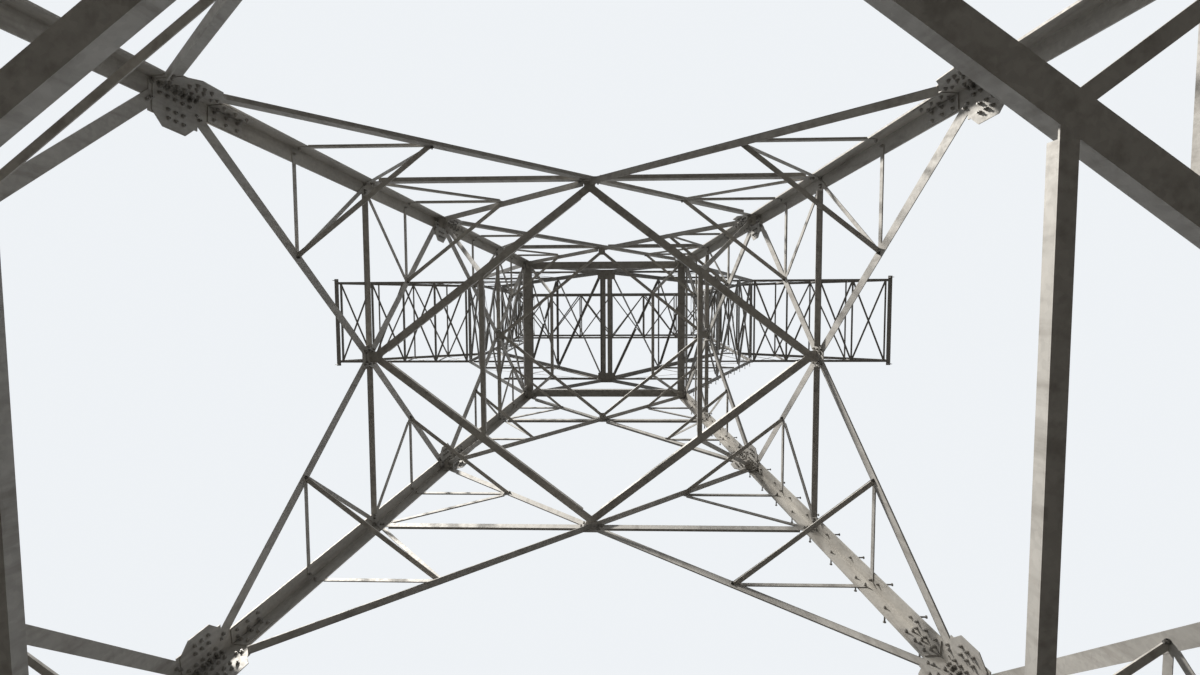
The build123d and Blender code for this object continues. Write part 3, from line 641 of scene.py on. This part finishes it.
@dataclass
class FaceAngles(Assembly):
    """One panel of one face's bracing as rolled angles, in the place of its plain node.

    Each bar's second flange stands outwards on its upper edge. One diagonal of each X on the front and back, and the
    level bars on the left and right, have it inwards on the lower edge.
    """

    panel: BodyPanel
    main: AngleSection = AngleSection(0.120, 0.092, 0.010, 4)
    short: AngleSection = AngleSection(0.060, 0.045, 0.006, 20)
    leg_cut: float = 0.245
    crossing_cut: float = 0.150
    short_cut: float = 0.090
    leg_plate: tuple[float, float] = (0.260, 0.300)
    end_plate: tuple[float, float] = (0.200, 0.300)
    plate_edge: float = 0.004
    crossing_plate: float = 0.340
    skin: float = 0.00015

    def __post_init__(self) -> None:
        """Start the piece, with no bar on it."""
        stem = f"{self.panel.face.name}_{self.panel.part.name}".lower()
        self.maker: PieceMaker = PieceMaker(stem + "_angles", BODY_SLOT, node=stem + "_bracing")
        self.layer: int = 0

    def shape(self) -> None:
        """Add the plates and the bars."""
        panel = self.panel
        self._plates()
        for side in SIDES:
            for foot, end in zip((side, -side), panel.diagonal_ends(side)):
                cuts = (self.leg_cut, self.crossing_cut / 2 if foot == 1 else 0.0)
                self._angle((end, panel.middle), self.main, cuts, foot == -panel.face.value[1])
            run = (panel.on_leg(side, panel.level), panel.middle)
            self._angle(run, self.main, (self.leg_cut / 2, self.crossing_cut), panel.face.value[1] == 0)
        for run in panel.short_bars():
            self._angle(run, self.short, (self.short_cut, self.short_cut), False)

    def _plates(self) -> None:
        """Add the plate at the crossing and the four on the legs."""
        panel, gap, leg, bar = self.panel, self.sizes.node_gap, self.sizes.leg_thick, self.sizes.bar_thick
        into = panel.normal * (leg + bar / 2)
        higher = self.sizes.face_point(panel.face, 0.0, panel.high) - panel.middle
        self.maker.plate(panel.middle - into, higher, panel.normal, (self.crossing_plate, self.crossing_plate, bar))
        for side in SIDES:
            for node, away, bare in ((panel.low, 1, panel.part is Panel.BASE),
                                     (panel.high, -1, panel.part is Panel.UPPER)):
                size = self.end_plate if bare else self.leg_plate
                z = node + away * (gap if bare else size[0] / 2)
                inset = leg + bar + self.plate_edge + size[1] / 2
                low, high = (panel.from_edge(side, at, inset) for at in (z, z + size[0]))
                self.maker.plate(low - into, high - low, panel.normal, (*size, bar))

    def _angle(self, run: Run, section: AngleSection, cuts: tuple[float, float], inwards: bool) -> None:
        """Add an angle. Its flat is a hair thinner than the last one, so that no two skins coincide.

        Args:
            run: its two ends, on the face's outer plane.
            section: its cross-section.
            cuts: how much of its second flange is left off at each end.
            inwards: whether that flange stands inwards on the lower edge, and not outwards on the upper one.
        """
        self.layer += 1
        normal, leg, bar = self.panel.normal, self.sizes.leg_thick, self.sizes.bar_thick
        flat = (section.width, bar - 2 * self.layer * self.skin)
        self.maker.strip(run, normal, flat, (0.0, -leg - bar / 2))
        ahead = (run[1] - run[0]).normalized()
        turn = -1 if inwards else 1
        upper = 1 if normal.cross(ahead).z > 0 else -1
        shift = (turn * upper * (section.width - section.thick) / 2,
                 turn * (section.flange / 2 + section.skins * self.skin) - (leg + (0.0 if inwards else bar)))
        run = (run[0] + ahead * cuts[0], run[1] - ahead * cuts[1])
        self.maker.strip(run, normal, (section.thick, section.flange), shift)


@dataclass
class BodyJoints(Assembly):
    """Cover plates over the leg joints and the crossings, splice plates on the legs, and all their bolts."""

    cover: Size = (0.470, 0.390, 0.010)
    cover_clip: float = 0.115
    cover_gap: float = 0.008
    cover_sway: float = 0.1
    cover_rises: Row = (-0.16, -0.08, 0.0, 0.08, 0.16)
    wide_rise: float = 0.1
    outer_bolts: Row = (-0.155, -0.095)
    inner_bolts: Row = (0.02, 0.10)
    cross_cover: Size = (0.100, 0.100, 0.010)
    cross_bolts: Row = (0.105, 0.155)
    level_bolts: Row = (-0.045, 0.035, 0.075)
    level_clear: float = 0.5
    leg_bolts: Row = (0.045, 0.105, 0.165, 0.225)
    leg_bolt_inset: float = 0.065
    diagonal_bolts: Row = (0.145, 0.195)
    splice: Size = (0.440, 0.150, 0.012)
    splice_rise: float = 0.60
    splice_gap: float = 0.016
    splice_rises: Row = (-0.15, 0.0, 0.15)
    splice_bolts: Row = (-0.038, 0.038)
    plates: PieceMaker = own_piece("body_joint_plates", BODY_SLOT)
    bolts: PieceMaker = own_piece("body_joint_bolts", BODY_SLOT, bolts=True)

    def __post_init__(self) -> None:
        """Find how deep the bracing's inner side lies below a face's outer plane."""
        self.grip: float = self.sizes.leg_thick + self.sizes.bar_thick

    def shape(self) -> None:
        """Add the plates and the bolts of every panel."""
        for panel in body_panels(self.sizes):
            self._bars(panel)
            for side in SIDES:
                self._leg(panel, side)
                if panel.part is not Panel.BASE:
                    self._cover(panel, side)
                    self._splice(panel, side)

    def _through(self, spot: Vector, normal: Vector, head: float, nut: float) -> None:
        """Put a bolt through steel, with its head outside and its nut inside, at depths below the outer plane."""
        self.bolts.bolt(spot - normal * head, normal, BoltKind.HEAD_20)
        self.bolts.bolt(spot - normal * nut, -normal, BoltKind.NUT_20)

    def _bars(self, panel: BodyPanel) -> None:
        """Bolt the bars together where they cross, the level bars to the legs, and the short bars at both ends.

        Args:
            panel: the panel.
        """
        middle, normal, leg = panel.middle, panel.normal, self.sizes.leg_thick
        levels = [panel.on_leg(side, panel.level) for side in SIDES]
        for side, level in zip(SIDES, levels):
            for end in (*panel.diagonal_ends(side), level):
                for reach in self.cross_bolts:
                    self._through(middle + (end - middle).normalized() * reach, normal, leg, self.grip)
        self.plates.plate(middle - normal * (self.grip + self.cross_cover[2] / 2 - SEAT),
                          panel.diagonal_ends(1)[1] - middle, normal, self.cross_cover)
        for level in levels:
            for reach in self.level_bolts:
                self._through(level + (middle - level).normalized() * reach, normal, 0.0, self.grip)
        for node, end in panel.short_bars():
            self._through(node, normal, leg, self.grip)
            if abs(end.z - panel.level) > self.level_clear:
                self._through(end, normal, 0.0, self.grip)

    def _leg(self, panel: BodyPanel, side: int) -> None:
        """Bolt the plates at both ends of a panel to one leg and to its diagonals.

        Args:
            panel: the panel.
            side: which leg.
        """
        for node, away, start in zip((panel.low, panel.high), (1, -1), panel.diagonal_ends(side)):
            for rise in self.leg_bolts:
                spot = panel.from_edge(side, node + away * rise, self.leg_bolt_inset)
                self._through(spot, panel.normal, 0.0, self.grip)
            ahead = (panel.middle - start).normalized()
            for reach in self.diagonal_bolts:
                self._through(start + ahead * reach, panel.normal, self.sizes.leg_thick, self.grip)

    def _cover(self, panel: BodyPanel, side: int) -> None:
        """Lay a plate over the two halves of the leg joint below a panel.

        Args:
            panel: the panel.
            side: which leg.
        """
        sizes, face, z = self.sizes, panel.face, panel.low
        edge = sizes.face_half(face, z) - self.grip - self.cover_gap - self.cover[1] / 2
        spot = sizes.face_point(face, side * edge, z)
        up = sizes.face_point(face, side * (edge - self.cover_sway), z + 1.0) - spot
        inward = sizes.face_point(face, 0.0, z) - spot
        self.plates.clipped_plate(spot - panel.normal * (self.grip + self.cover[2] / 2 - SEAT), (up, inward),
                                  self.cover, self.cover_clip)
        top = panel.normal * (self.grip + self.cover[2])
        for rise in self.cover_rises:
            for across in (*self.outer_bolts, *(() if abs(rise) > self.wide_rise else self.inner_bolts)):
                place = spot + up.normalized() * rise + inward.normalized() * across
                self.bolts.bolt(place - top, -panel.normal, BoltKind.NUT_20)

    def _splice(self, panel: BodyPanel, side: int) -> None:
        """Join two lengths of leg with a plate inside one flange, above the leg joint below a panel.

        Args:
            panel: the panel.
            side: which leg.
        """
        z, leg = panel.low + self.splice_rise, self.sizes.leg_thick
        spot = panel.from_edge(side, z, leg + self.splice_gap + self.splice[1] / 2)
        up = (panel.from_edge(side, z + 1.0, 0.0) - panel.from_edge(side, z, 0.0)).normalized()
        self.plates.plate(spot - panel.normal * (leg + self.splice[2] / 2 - SEAT), up, panel.normal, self.splice)
        along = panel.normal.cross(up).normalized()
        for rise in self.splice_rises:
            for across in self.splice_bolts:
                self._through(spot + up * rise + along * across, panel.normal, 0.0, leg + self.splice[2])


@dataclass
class PlanDressing(Assembly):
    """Upright flanges of the level frames inside the body, and of the bars across its corners."""

    set_back: float = 0.120
    rim_share: float = 0.6
    rim_trim: float = 0.20
    tie_flange: float = 0.055
    tie_thick: float = 0.007
    tie_trim: float = 0.11
    hip_thick: float = 0.006
    hip_trim: float = 0.12
    flanges: PieceMaker = own_piece("plan_bar_flanges", BODY_SLOT)

    def shape(self) -> None:
        """Add the flanges."""
        widths = (self.sizes.base_plan_width, self.sizes.diagonal_width, self.sizes.lacing_width)
        for (low, high), width in zip(self.sizes.panels, widths):
            self._frame(self.sizes.crossing_level(low, high), width)
            for end_z in (low + self.sizes.node_gap, high - self.sizes.node_gap):
                self._hips(end_z, (end_z + self.sizes.crossing_level(low, high)) / 2)

    def _upright(self, run: Run, section: Size, edge: int, trim: float) -> None:
        """Stand a flange on a level bar, on the edge at the left of its run if edge is 1, else on the other."""
        width, height, thick = section
        self.flanges.strip(run, UP, (thick, height), (edge * (width - thick) / 2, height / 2 - SEAT), trim)

    def _frame(self, level: float, width: float) -> None:
        """Add the inner flanges of a diamond and of its two ties.

        Args:
            level: the height of its underside.
            width: the width of its bars.
        """
        x, y = self.sizes.half_x(level) - self.set_back, self.sizes.half_y(level) - self.set_back
        top, thick = level + self.sizes.bar_thick, self.sizes.bar_thick
        corners = [Vector((0, -y, top)), Vector((x, 0, top)), Vector((0, y, top)), Vector((-x, 0, top))]
        for index, corner in enumerate(corners):
            section = (width, self.rim_share * width, thick)
            self._upright((corners[index - 1], corner), section, 1, self.rim_trim)
        for side in SIDES:
            run = (Vector((side * x / 2, -y / 2, top)), Vector((side * x / 2, y / 2, top)))
            section = (self.sizes.lacing_width, self.tie_flange, self.tie_thick)
            self._upright(run, section, side, self.tie_trim)

    def _hips(self, end_z: float, z: float) -> None:
        """Add the upright flanges of the four bars across the corners at one height.

        Args:
            end_z: the height where the diagonals that they meet end on the legs.
            z: their own height.
        """
        sizes, thick = self.sizes, self.hip_thick
        top, width = z + sizes.bar_thick / 2, sizes.redundant_width
        for corner in Corner:
            sx, sy = corner.value
            run = (Vector((sx * sizes.leg_gauge(end_z, Face.FRONT) / 2, sy * sizes.half_y(z), top)),
                   Vector((sx * sizes.half_x(z), sy * sizes.leg_gauge(end_z, Face.LEFT) / 2, top)))
            self._upright(run, (width, width - thick, thick), sx * sy, self.hip_trim)


@dataclass
class HeadDressing(Assembly):
    """Outstanding flanges and finer lacing of the fork, the columns, the arms and the top beam."""

    flange_share: float = 0.8
    half_trim: float = 0.12
    post_trim: float = 0.08
    fine_width: float = 0.045
    fine_thick: float = 0.005
    flanges: PieceMaker = own_piece("head_bar_flanges", HEAD_SLOT)
    lacing: PieceMaker = own_piece("head_fine_lacing", HEAD_SLOT)

    def shape(self) -> None:
        """Add the flanges and the lacing."""
        for side in SIDES:
            self._fork(side)
            self._column(side)
            self._arm(side)
        self._beam()

    def _flange(self, run: Run, normal: Vector, width: float, inset: float, trim: float = 0.14) -> None:
        """Add the second flange of a bar that lies at an inset below the outer plane, with its ends left off."""
        thick, height = self.sizes.head_bar_thick, width * self.flange_share
        self.flanges.strip(run, normal, (thick, height), ((width - thick) / 2, SEAT - inset - thick - height / 2), trim)

    def _fine(self, run: Run, normal: Vector) -> None:
        """Add a fine lacing bar on the outside of the chords."""
        self.lacing.strip(run, normal, (self.fine_width, self.fine_thick), (0.0, self.fine_thick / 2 - SEAT))

    def _chords(self, side: int, end: int, z: float, gauge: float) -> Run:
        """Points on the bolt lines of the inner and the outer chord of a fork or a column, at one height."""
        inner, outer = self.sizes.inner_x(z) + gauge, self.sizes.outer_x(z) - gauge
        return self.sizes.head_point(side * inner, end, z), self.sizes.head_point(side * outer, end, z)

    def _fork(self, side: int) -> None:
        """Dress one fork.

        Args:
            side: -1 for the left fork, 1 for the right one.
        """
        s = self.sizes
        gauge, spare = s.chord_width / 2, 2 * s.end_gap
        levels = (s.crotch_z, s.fork_mid_z, s.arm_z)
        for end in SIDES:
            pairs = [self._chords(side, end, z, gauge) for z in levels]
            for pair in pairs:
                self._flange(pair, s.head_normal(end), s.lacing_width, s.chord_thick)
            for low, high in zip(pairs, pairs[1:]):
                self._fine((low[0], high[1]), s.head_normal(end))
        self._ladder(side, True, False, [s.waist_z + spare, s.crotch_z, s.fork_mid_z, s.arm_z - spare])
        self._ladder(side, False, False, [*levels, s.arm_top_z - s.end_gap])

    def _ladder(self, side: int, outer: bool, slim: bool, stations: list[float]) -> None:
        """Dress the side between a front and a back chord, whose diagonals are single ones on slim chords.

        Args:
            side: -1 for the left chords, 1 for the right ones.
            outer: whether it lies between the outer chords.
            slim: whether they are the slim chords of a column.
            stations: heights of its struts.
        """
        s, width = self.sizes, self.sizes.lacing_width
        gauge, inset = (s.slim_width / 2, s.slim_thick) if slim else (s.chord_width / 2, s.chord_thick)
        line_x = s.outer_x if outer else s.inner_x
        front, back = ([Vector((side * line_x(z), y * (s.half_y(z) - gauge), z)) for z in stations]
                       for y in SIDES)
        run = front[-1] - front[0]
        normal = Vector((-run.z, 0.0, run.x)).normalized()
        if normal.x * side * (1 if outer else -1) < 0:
            normal = -normal
        self._flange((front[0], back[0]), normal, width, inset)
        for index in range(1, len(stations)):
            self._flange((front[index], back[index]), normal, width, inset)
            start, end = (front, back) if index % 2 else (back, front)
            self._flange((start[index - 1], end[index]), normal, width, inset)
            other = (end[index - 1], start[index])
            if slim:
                self._fine(other, normal)
            else:
                middle = (other[0] + other[1]) / 2
                for half in ((other[0], middle), (middle, other[1])):
                    self._flange(half, normal, width, inset, self.half_trim)

    def _column(self, side: int) -> None:
        """Dress one column.

        Args:
            side: -1 for the left column, 1 for the right one.
        """
        s, gauge = self.sizes, self.sizes.slim_width / 2
        step = (s.beam_z - s.arm_top_z) / s.column_panels
        levels = [s.arm_top_z + s.lacing_width + step * index for index in range(s.column_panels)]
        levels.append(s.beam_z - s.lacing_width)
        for end in SIDES:
            normal = s.head_normal(end)
            pairs = [self._chords(side, end, z, gauge) for z in levels]
            for index, (low, high) in enumerate(zip(pairs, pairs[1:])):
                there, across = (low[1], high[0]), (low[0], high[1])
                if index % 2 == 0:
                    there, across = across, there
                for bar in (low, there):
                    self._flange(bar, normal, s.redundant_width, s.slim_thick)
                self._fine(across, normal)
        self._ladder(side, True, True, [s.arm_z + s.lacing_width, *levels])
        self._ladder(side, False, True, levels)

    def _cross_bar(self, x: float, z: float, width: float) -> None:
        """Add the flange of a bar from the front to the back under an arm or the beam."""
        reach = self.sizes.half_y(z) - self.sizes.slim_width / 2
        self._flange((Vector((x, -reach, z)), Vector((x, reach, z))), -UP, width, self.sizes.slim_thick)

    def _arm(self, side: int) -> None:
        """Dress one arm.

        Args:
            side: -1 for the left arm, 1 for the right one.
        """
        s, gauge = self.sizes, self.sizes.slim_width / 2
        root = s.elbow_x + s.lacing_width
        step = (s.tip_x - s.tip_bar_width - root) / s.arm_panels
        stations = [root + step * index for index in range(s.arm_panels + 1)]
        for index, x in enumerate(stations):
            self._cross_bar(side * x, s.arm_z, s.lacing_width)
            for end in SIDES if 0 < index < s.arm_panels else ():
                low, high = (s.head_point(side * x, end, z) for z in (s.arm_z + gauge, s.arm_top_at(x) - gauge))
                last = s.head_point(side * stations[index - 1], end, s.arm_z + gauge)
                self._flange((low, high), s.head_normal(end), s.redundant_width, s.slim_thick, self.post_trim)
                self._fine((last, high), s.head_normal(end))

    def _beam(self) -> None:
        """Dress the top beam."""
        s, gauge = self.sizes, self.sizes.slim_width / 2
        low, high = s.beam_z + gauge, s.beam_top_z - gauge
        step = 2 * (s.beam_half_x - gauge) / s.beam_panels
        stations = [-s.beam_half_x + gauge + step * index for index in range(s.beam_panels + 1)]
        for index, x in enumerate(stations):
            self._cross_bar(x, s.beam_z, s.redundant_width)
            for end in SIDES:
                post = (s.head_point(x, end, low), s.head_point(x, end, high))
                self._flange(post, s.head_normal(end), s.redundant_width, s.slim_thick)
                if index:
                    start, stop = (high, low) if index % 2 else (low, high)
                    run = (s.head_point(stations[index - 1], end, start), s.head_point(x, end, stop))
                    self._fine(run, s.head_normal(end))


@dataclass
class CrotchStruts(Assembly):
    """Pair of angles between the front and the back joint of the two forks, on level plates."""

    rise: float = 20.930
    flange: float = 0.120
    thick: float = 0.010
    gap: float = 0.060
    plate: Size = (0.560, 0.300, 0.010)
    bolts_x: Row = (-0.24, -0.12, -0.06, 0.06, 0.12, 0.24)
    bolts_y: Row = (0.07, 0.15, 0.23)
    maker: PieceMaker = own_piece("crotch_struts", "chord_steel")

    def shape(self) -> None:
        """Add the struts, their plates and their bolts."""
        reach = self.sizes.half_y(self.rise) - self.sizes.chord_thick - self.sizes.bar_thick
        web_rise = (self.flange + self.thick) / 2 - SEAT
        for side in SIDES:
            for width, height, rise in ((self.flange, self.thick, 0.0), (self.thick, self.flange, web_rise)):
                x = side * (self.gap + width) / 2
                run = (Vector((x, -reach, self.rise)), Vector((x, reach, self.rise)))
                self.maker.strip(run, UP, (width, height), (0.0, rise))
        for end in SIDES:
            spot = Vector((0.0, end * (reach - self.plate[1] / 2), self.rise - self.thick + SEAT))
            self.maker.plate(spot, Vector((1, 0, 0)), UP, self.plate)
            for x in self.bolts_x:
                for y in self.bolts_y:
                    under = Vector((x, end * (reach - y), spot.z - self.plate[2] / 2))
                    self.maker.bolt(under, -UP, BoltKind.HEAD_20)


@dataclass
class PeakLacing(Assembly):
    """Finer lacing of the two earth wire peaks: the diagonals that cross the zigzag ones."""

    section: tuple[float, float] = (0.040, 0.005)
    depth: float = 0.012
    trim: float = 0.02
    maker: PieceMaker = own_piece("peak_fine_lacing", HEAD_SLOT)

    def shape(self) -> None:
        """Lace the four sides of each peak."""
        s = self.sizes
        half, z = s.half_y(s.beam_top_z), s.beam_top_z
        for side in SIDES:
            tip = Vector((side * s.peak_x, 0.0, s.peak_z))
            inner, outer = side * s.beam_inner_x, side * s.beam_half_x
            base = [Vector((x, y, z)) for x, y in ((inner, -half), (outer, -half), (outer, half), (inner, half))]
            middle = (base[0] + base[2]) / 2
            for a, b in zip((base[-1], *base), base):
                normal = (b - a).cross(tip - a).normalized()
                if normal.dot(a - middle) < 0:
                    normal = -normal
                for low, high in zip(s.peak_stations, s.peak_stations[1:]):
                    for first, second in ((a, b), (b, a)):
                        run = (first.lerp(tip, low), second.lerp(tip, high))
                        self.maker.strip(run, normal, self.section, (0.0, -self.depth), self.trim)


@dataclass
class FootFittings(Assembly):
    """Anchor rods with nuts and washers on the foot plates."""

    spacing: float = 0.440
    plate_top: float = 0.040
    rod_radius: float = 0.018
    rod_foot: float = 0.002
    rod_top: float = 0.155
    washer_radius: float = 0.046
    washer_thick: float = 0.008
    nut_pitch: float = 0.034
    maker: PieceMaker = own_piece("anchor_rods", "foot_steel", bolts=True)

    def shape(self) -> None:
        """Add each rod with its washer and two nuts."""
        half, nut = self.spacing / 2, BoltKind.NUT_36
        nut_z = self.plate_top + self.washer_thick
        parts = [(self.rod_foot, self.rod_top, self.rod_radius, ROUND_SIDES),
                 (self.plate_top - SEAT, nut_z, self.washer_radius, WASHER_SIDES)]
        parts += [(z - SEAT, z + nut.height, nut.radius, HEXAGON) for z in (nut_z, nut_z + self.nut_pitch)]
        for corner in Corner:
            sx, sy = corner.value
            for dx in (-half, half):
                for dy in (-half, half):
                    x, y = sx * self.sizes.half_x(0.0) + dx, sy * self.sizes.half_y(0.0) + dy
                    for low, high, radius, sides in parts:
                        self.maker.rod(Vector((x, y, low)), Vector((x, y, high)), radius, sides)


@dataclass
class StepBolts(Assembly):
    """Climbing bolts that stick out of both flanges of one leg by turns."""

    corner: Corner = Corner.BACK_RIGHT
    first_z: float = 2.6
    start_gap: float = 0.5
    end_gap: float = 0.4
    pitch: float = 0.315
    reach: float = 0.150
    inner_reach: float = 0.030
    radius: float = 0.010
    head_radius: float = 0.019
    head_height: float = 0.012
    nut_radius: float = 0.018
    nut_depth: float = 0.004
    outer_nut: float = 0.014
    inner_nut: float = 0.016
    gauge: float = 0.120
    head_gauge: float = 0.055
    maker: PieceMaker = own_piece("step_bolts", "leg_steel", bolts=True)

    def shape(self) -> None:
        """Add the climbing bolts up the body, and on up the head."""
        s = self.sizes
        self._row(self.first_z, s.waist_z, s.half_x, (self.gauge, s.leg_thick))
        self._row(s.waist_z + self.start_gap, s.beam_z, s.outer_x, (self.head_gauge, s.slim_thick))

    def _row(self, low: float, top: float, heel_x: Callable[[float], float], steel: tuple[float, float]) -> None:
        """Add the bolts along one length of steel, each as a shank, a button head and two nuts.

        Args:
            low: height of the first one.
            top: height where the steel ends.
            heel_x: gives its heel's distance from the middle along X.
            steel: the bolts' distance from the heel, and the flange's thickness.
        """
        sx, sy = self.corner.value
        inside = -steel[1]
        parts = ((inside - self.inner_reach, self.reach, self.radius, SHANK_SIDES),
                 (self.reach - self.head_height, self.reach, self.head_radius, SHANK_SIDES),
                 (-self.nut_depth, self.outer_nut, self.nut_radius, HEXAGON),
                 (inside + self.nut_depth, inside - self.inner_nut, self.nut_radius, HEXAGON))
        for index in range(int((top - self.end_gap - low) / self.pitch)):
            z = low + index * self.pitch
            out, along = Vector((sx, 0, 0)), Vector((0, -sy, 0))
            if index % 2:
                out, along = -along, -out
            root = Vector((sx * heel_x(z), sy * self.sizes.half_y(z), z)) + along * steel[0]
            for start, end, radius, sides in parts:
                self.maker.rod(root + out * start, root + out * end, radius, sides)


@dataclass(frozen=True)
class Studio:
    """Pale floor, soft light and the camera's place."""

    place: Size = (0.435, -0.817, 1.946)
    tilt: Size = (3.562, 1.957, -0.158)
    lens: float = 17.554
    sensor: float = 36.0
    far: float = 500.0
    floor_size: float = 1200.0
    floor_rough: float = 0.9
    floor_seen: Colour = (0.360, 0.355, 0.345)
    floor_bounce: Colour = (0.052, 0.050, 0.047)
    sky_light: Colour = (0.93, 0.96, 1.0)
    sky_seen: Colour = (0.86, 0.89, 0.92)
    sky_strength: float = 0.22
    sun_light: Colour = (1.0, 0.97, 0.92)
    sun_strength: float = 7.0
    sun_from: Size = (-0.64, -0.66, 1.0)
    sun_angle: float = 5.0

    def build(self) -> None:
        """Make the floor, the light and the camera."""
        self._floor()
        self._world()
        self._sun()
        self._camera()

    def _floor(self) -> None:
        """Lay the pale floor that the tower stands on."""
        bm = bmesh.new()
        bmesh.ops.create_grid(bm, x_segments=1, y_segments=1, size=self.floor_size / 2)
        mesh = bpy.data.meshes.new("floor")
        bm.to_mesh(mesh)
        bm.free()
        floor = bpy.data.objects.new("floor", mesh)
        bpy.context.scene.collection.objects.link(floor)
        paint = bpy.data.materials.new("floor_paint")
        paint.use_nodes = True
        tree = paint.node_tree
        seen = add_node(tree, "LightPath").outputs["Is Camera Ray"]
        colour = add_node(tree, "Mix", {"Factor": seen, "A": (*self.floor_bounce, 1.0), "B": (*self.floor_seen, 1.0)},
                          data_type="RGBA")
        feed(tree, tree.nodes["Principled BSDF"],
             {"Base Color": colour.outputs["Result"], "Roughness": self.floor_rough})
        mesh.materials.append(paint)

    def _world(self) -> None:
        """Even pale light from all round, with a plain pale background behind the steel."""
        world = bpy.data.worlds.new("studio")
        world.use_nodes = True
        tree = world.node_tree
        light = tree.nodes["Background"]
        feed(tree, light, {"Color": (*self.sky_light, 1.0), "Strength": self.sky_strength})
        back = add_node(tree, "Background", {"Color": (*self.sky_seen, 1.0), "Strength": 1.0})
        path = add_node(tree, "LightPath").outputs
        seen = path["Is Camera Ray"]
        for ray in ("Is Glossy Ray", "Is Transmission Ray"):
            seen = add_node(tree, "Math", {0: seen, 1: path[ray]}, operation="MAXIMUM").outputs[0]
        mix = add_node(tree, "MixShader", {"Fac": seen, 1: light.outputs["Background"], 2: back.outputs["Background"]})
        feed(tree, tree.nodes["World Output"], {"Surface": mix.outputs["Shader"]})
        bpy.context.scene.world = world

    def _sun(self) -> None:
        """Soft main light from high on one side."""
        lamp = bpy.data.lights.new("main_light", "SUN")
        lamp.energy = self.sun_strength
        lamp.angle = math.radians(self.sun_angle)
        lamp.color = self.sun_light
        sun = bpy.data.objects.new("main_light", lamp)
        sun.rotation_euler = Vector(self.sun_from).to_track_quat("Z", "Y").to_euler()
        bpy.context.scene.collection.objects.link(sun)

    def _camera(self) -> None:
        """Stand the camera inside the body, looking up."""
        tilt_x, tilt_y, tilt_z = (math.radians(angle) for angle in self.tilt)
        look = Matrix.Rotation(tilt_z, 3, "Z") @ Matrix.Rotation(tilt_y, 3, "Y") @ Matrix.Rotation(tilt_x, 3, "X")
        axes = Matrix((look[0], -look[1], -look[2])).transposed()
        data = bpy.data.cameras.new("camera")
        data.lens, data.sensor_width, data.clip_end = self.lens, self.sensor, self.far
        camera = bpy.data.objects.new("camera", data)
        camera.matrix_world = Matrix.Translation(self.place) @ axes.to_4x4()
        bpy.context.scene.collection.objects.link(camera)
        bpy.context.scene.camera = camera


def write_sizes() -> None:
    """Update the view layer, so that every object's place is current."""
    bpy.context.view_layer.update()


def main() -> None:
    """Dress the tower and set the studio."""
    logging.basicConfig(level=logging.INFO, format="%(name)s: %(message)s")
    bpy.context.scene.view_settings.view_transform = "Standard"
    sizes = TowerSizes()
    finishes = Finishes()
    LOG.info("nodes dressed: %d", finishes.dress_nodes())
    assemblies = [FaceAngles(sizes, panel) for panel in body_panels(sizes)]
    assemblies += [kind(sizes) for kind in (BodyJoints, PlanDressing, HeadDressing, CrotchStruts, PeakLacing,
                                            FootFittings, StepBolts)]
    for assembly in assemblies:
        for maker in assembly.pieces():
            piece = maker.finish(finishes)
            LOG.info("%s: %d faces", piece.name, len(piece.data.polygons))
    Studio().build()
    write_sizes()


if __name__ == "__main__":
    main()
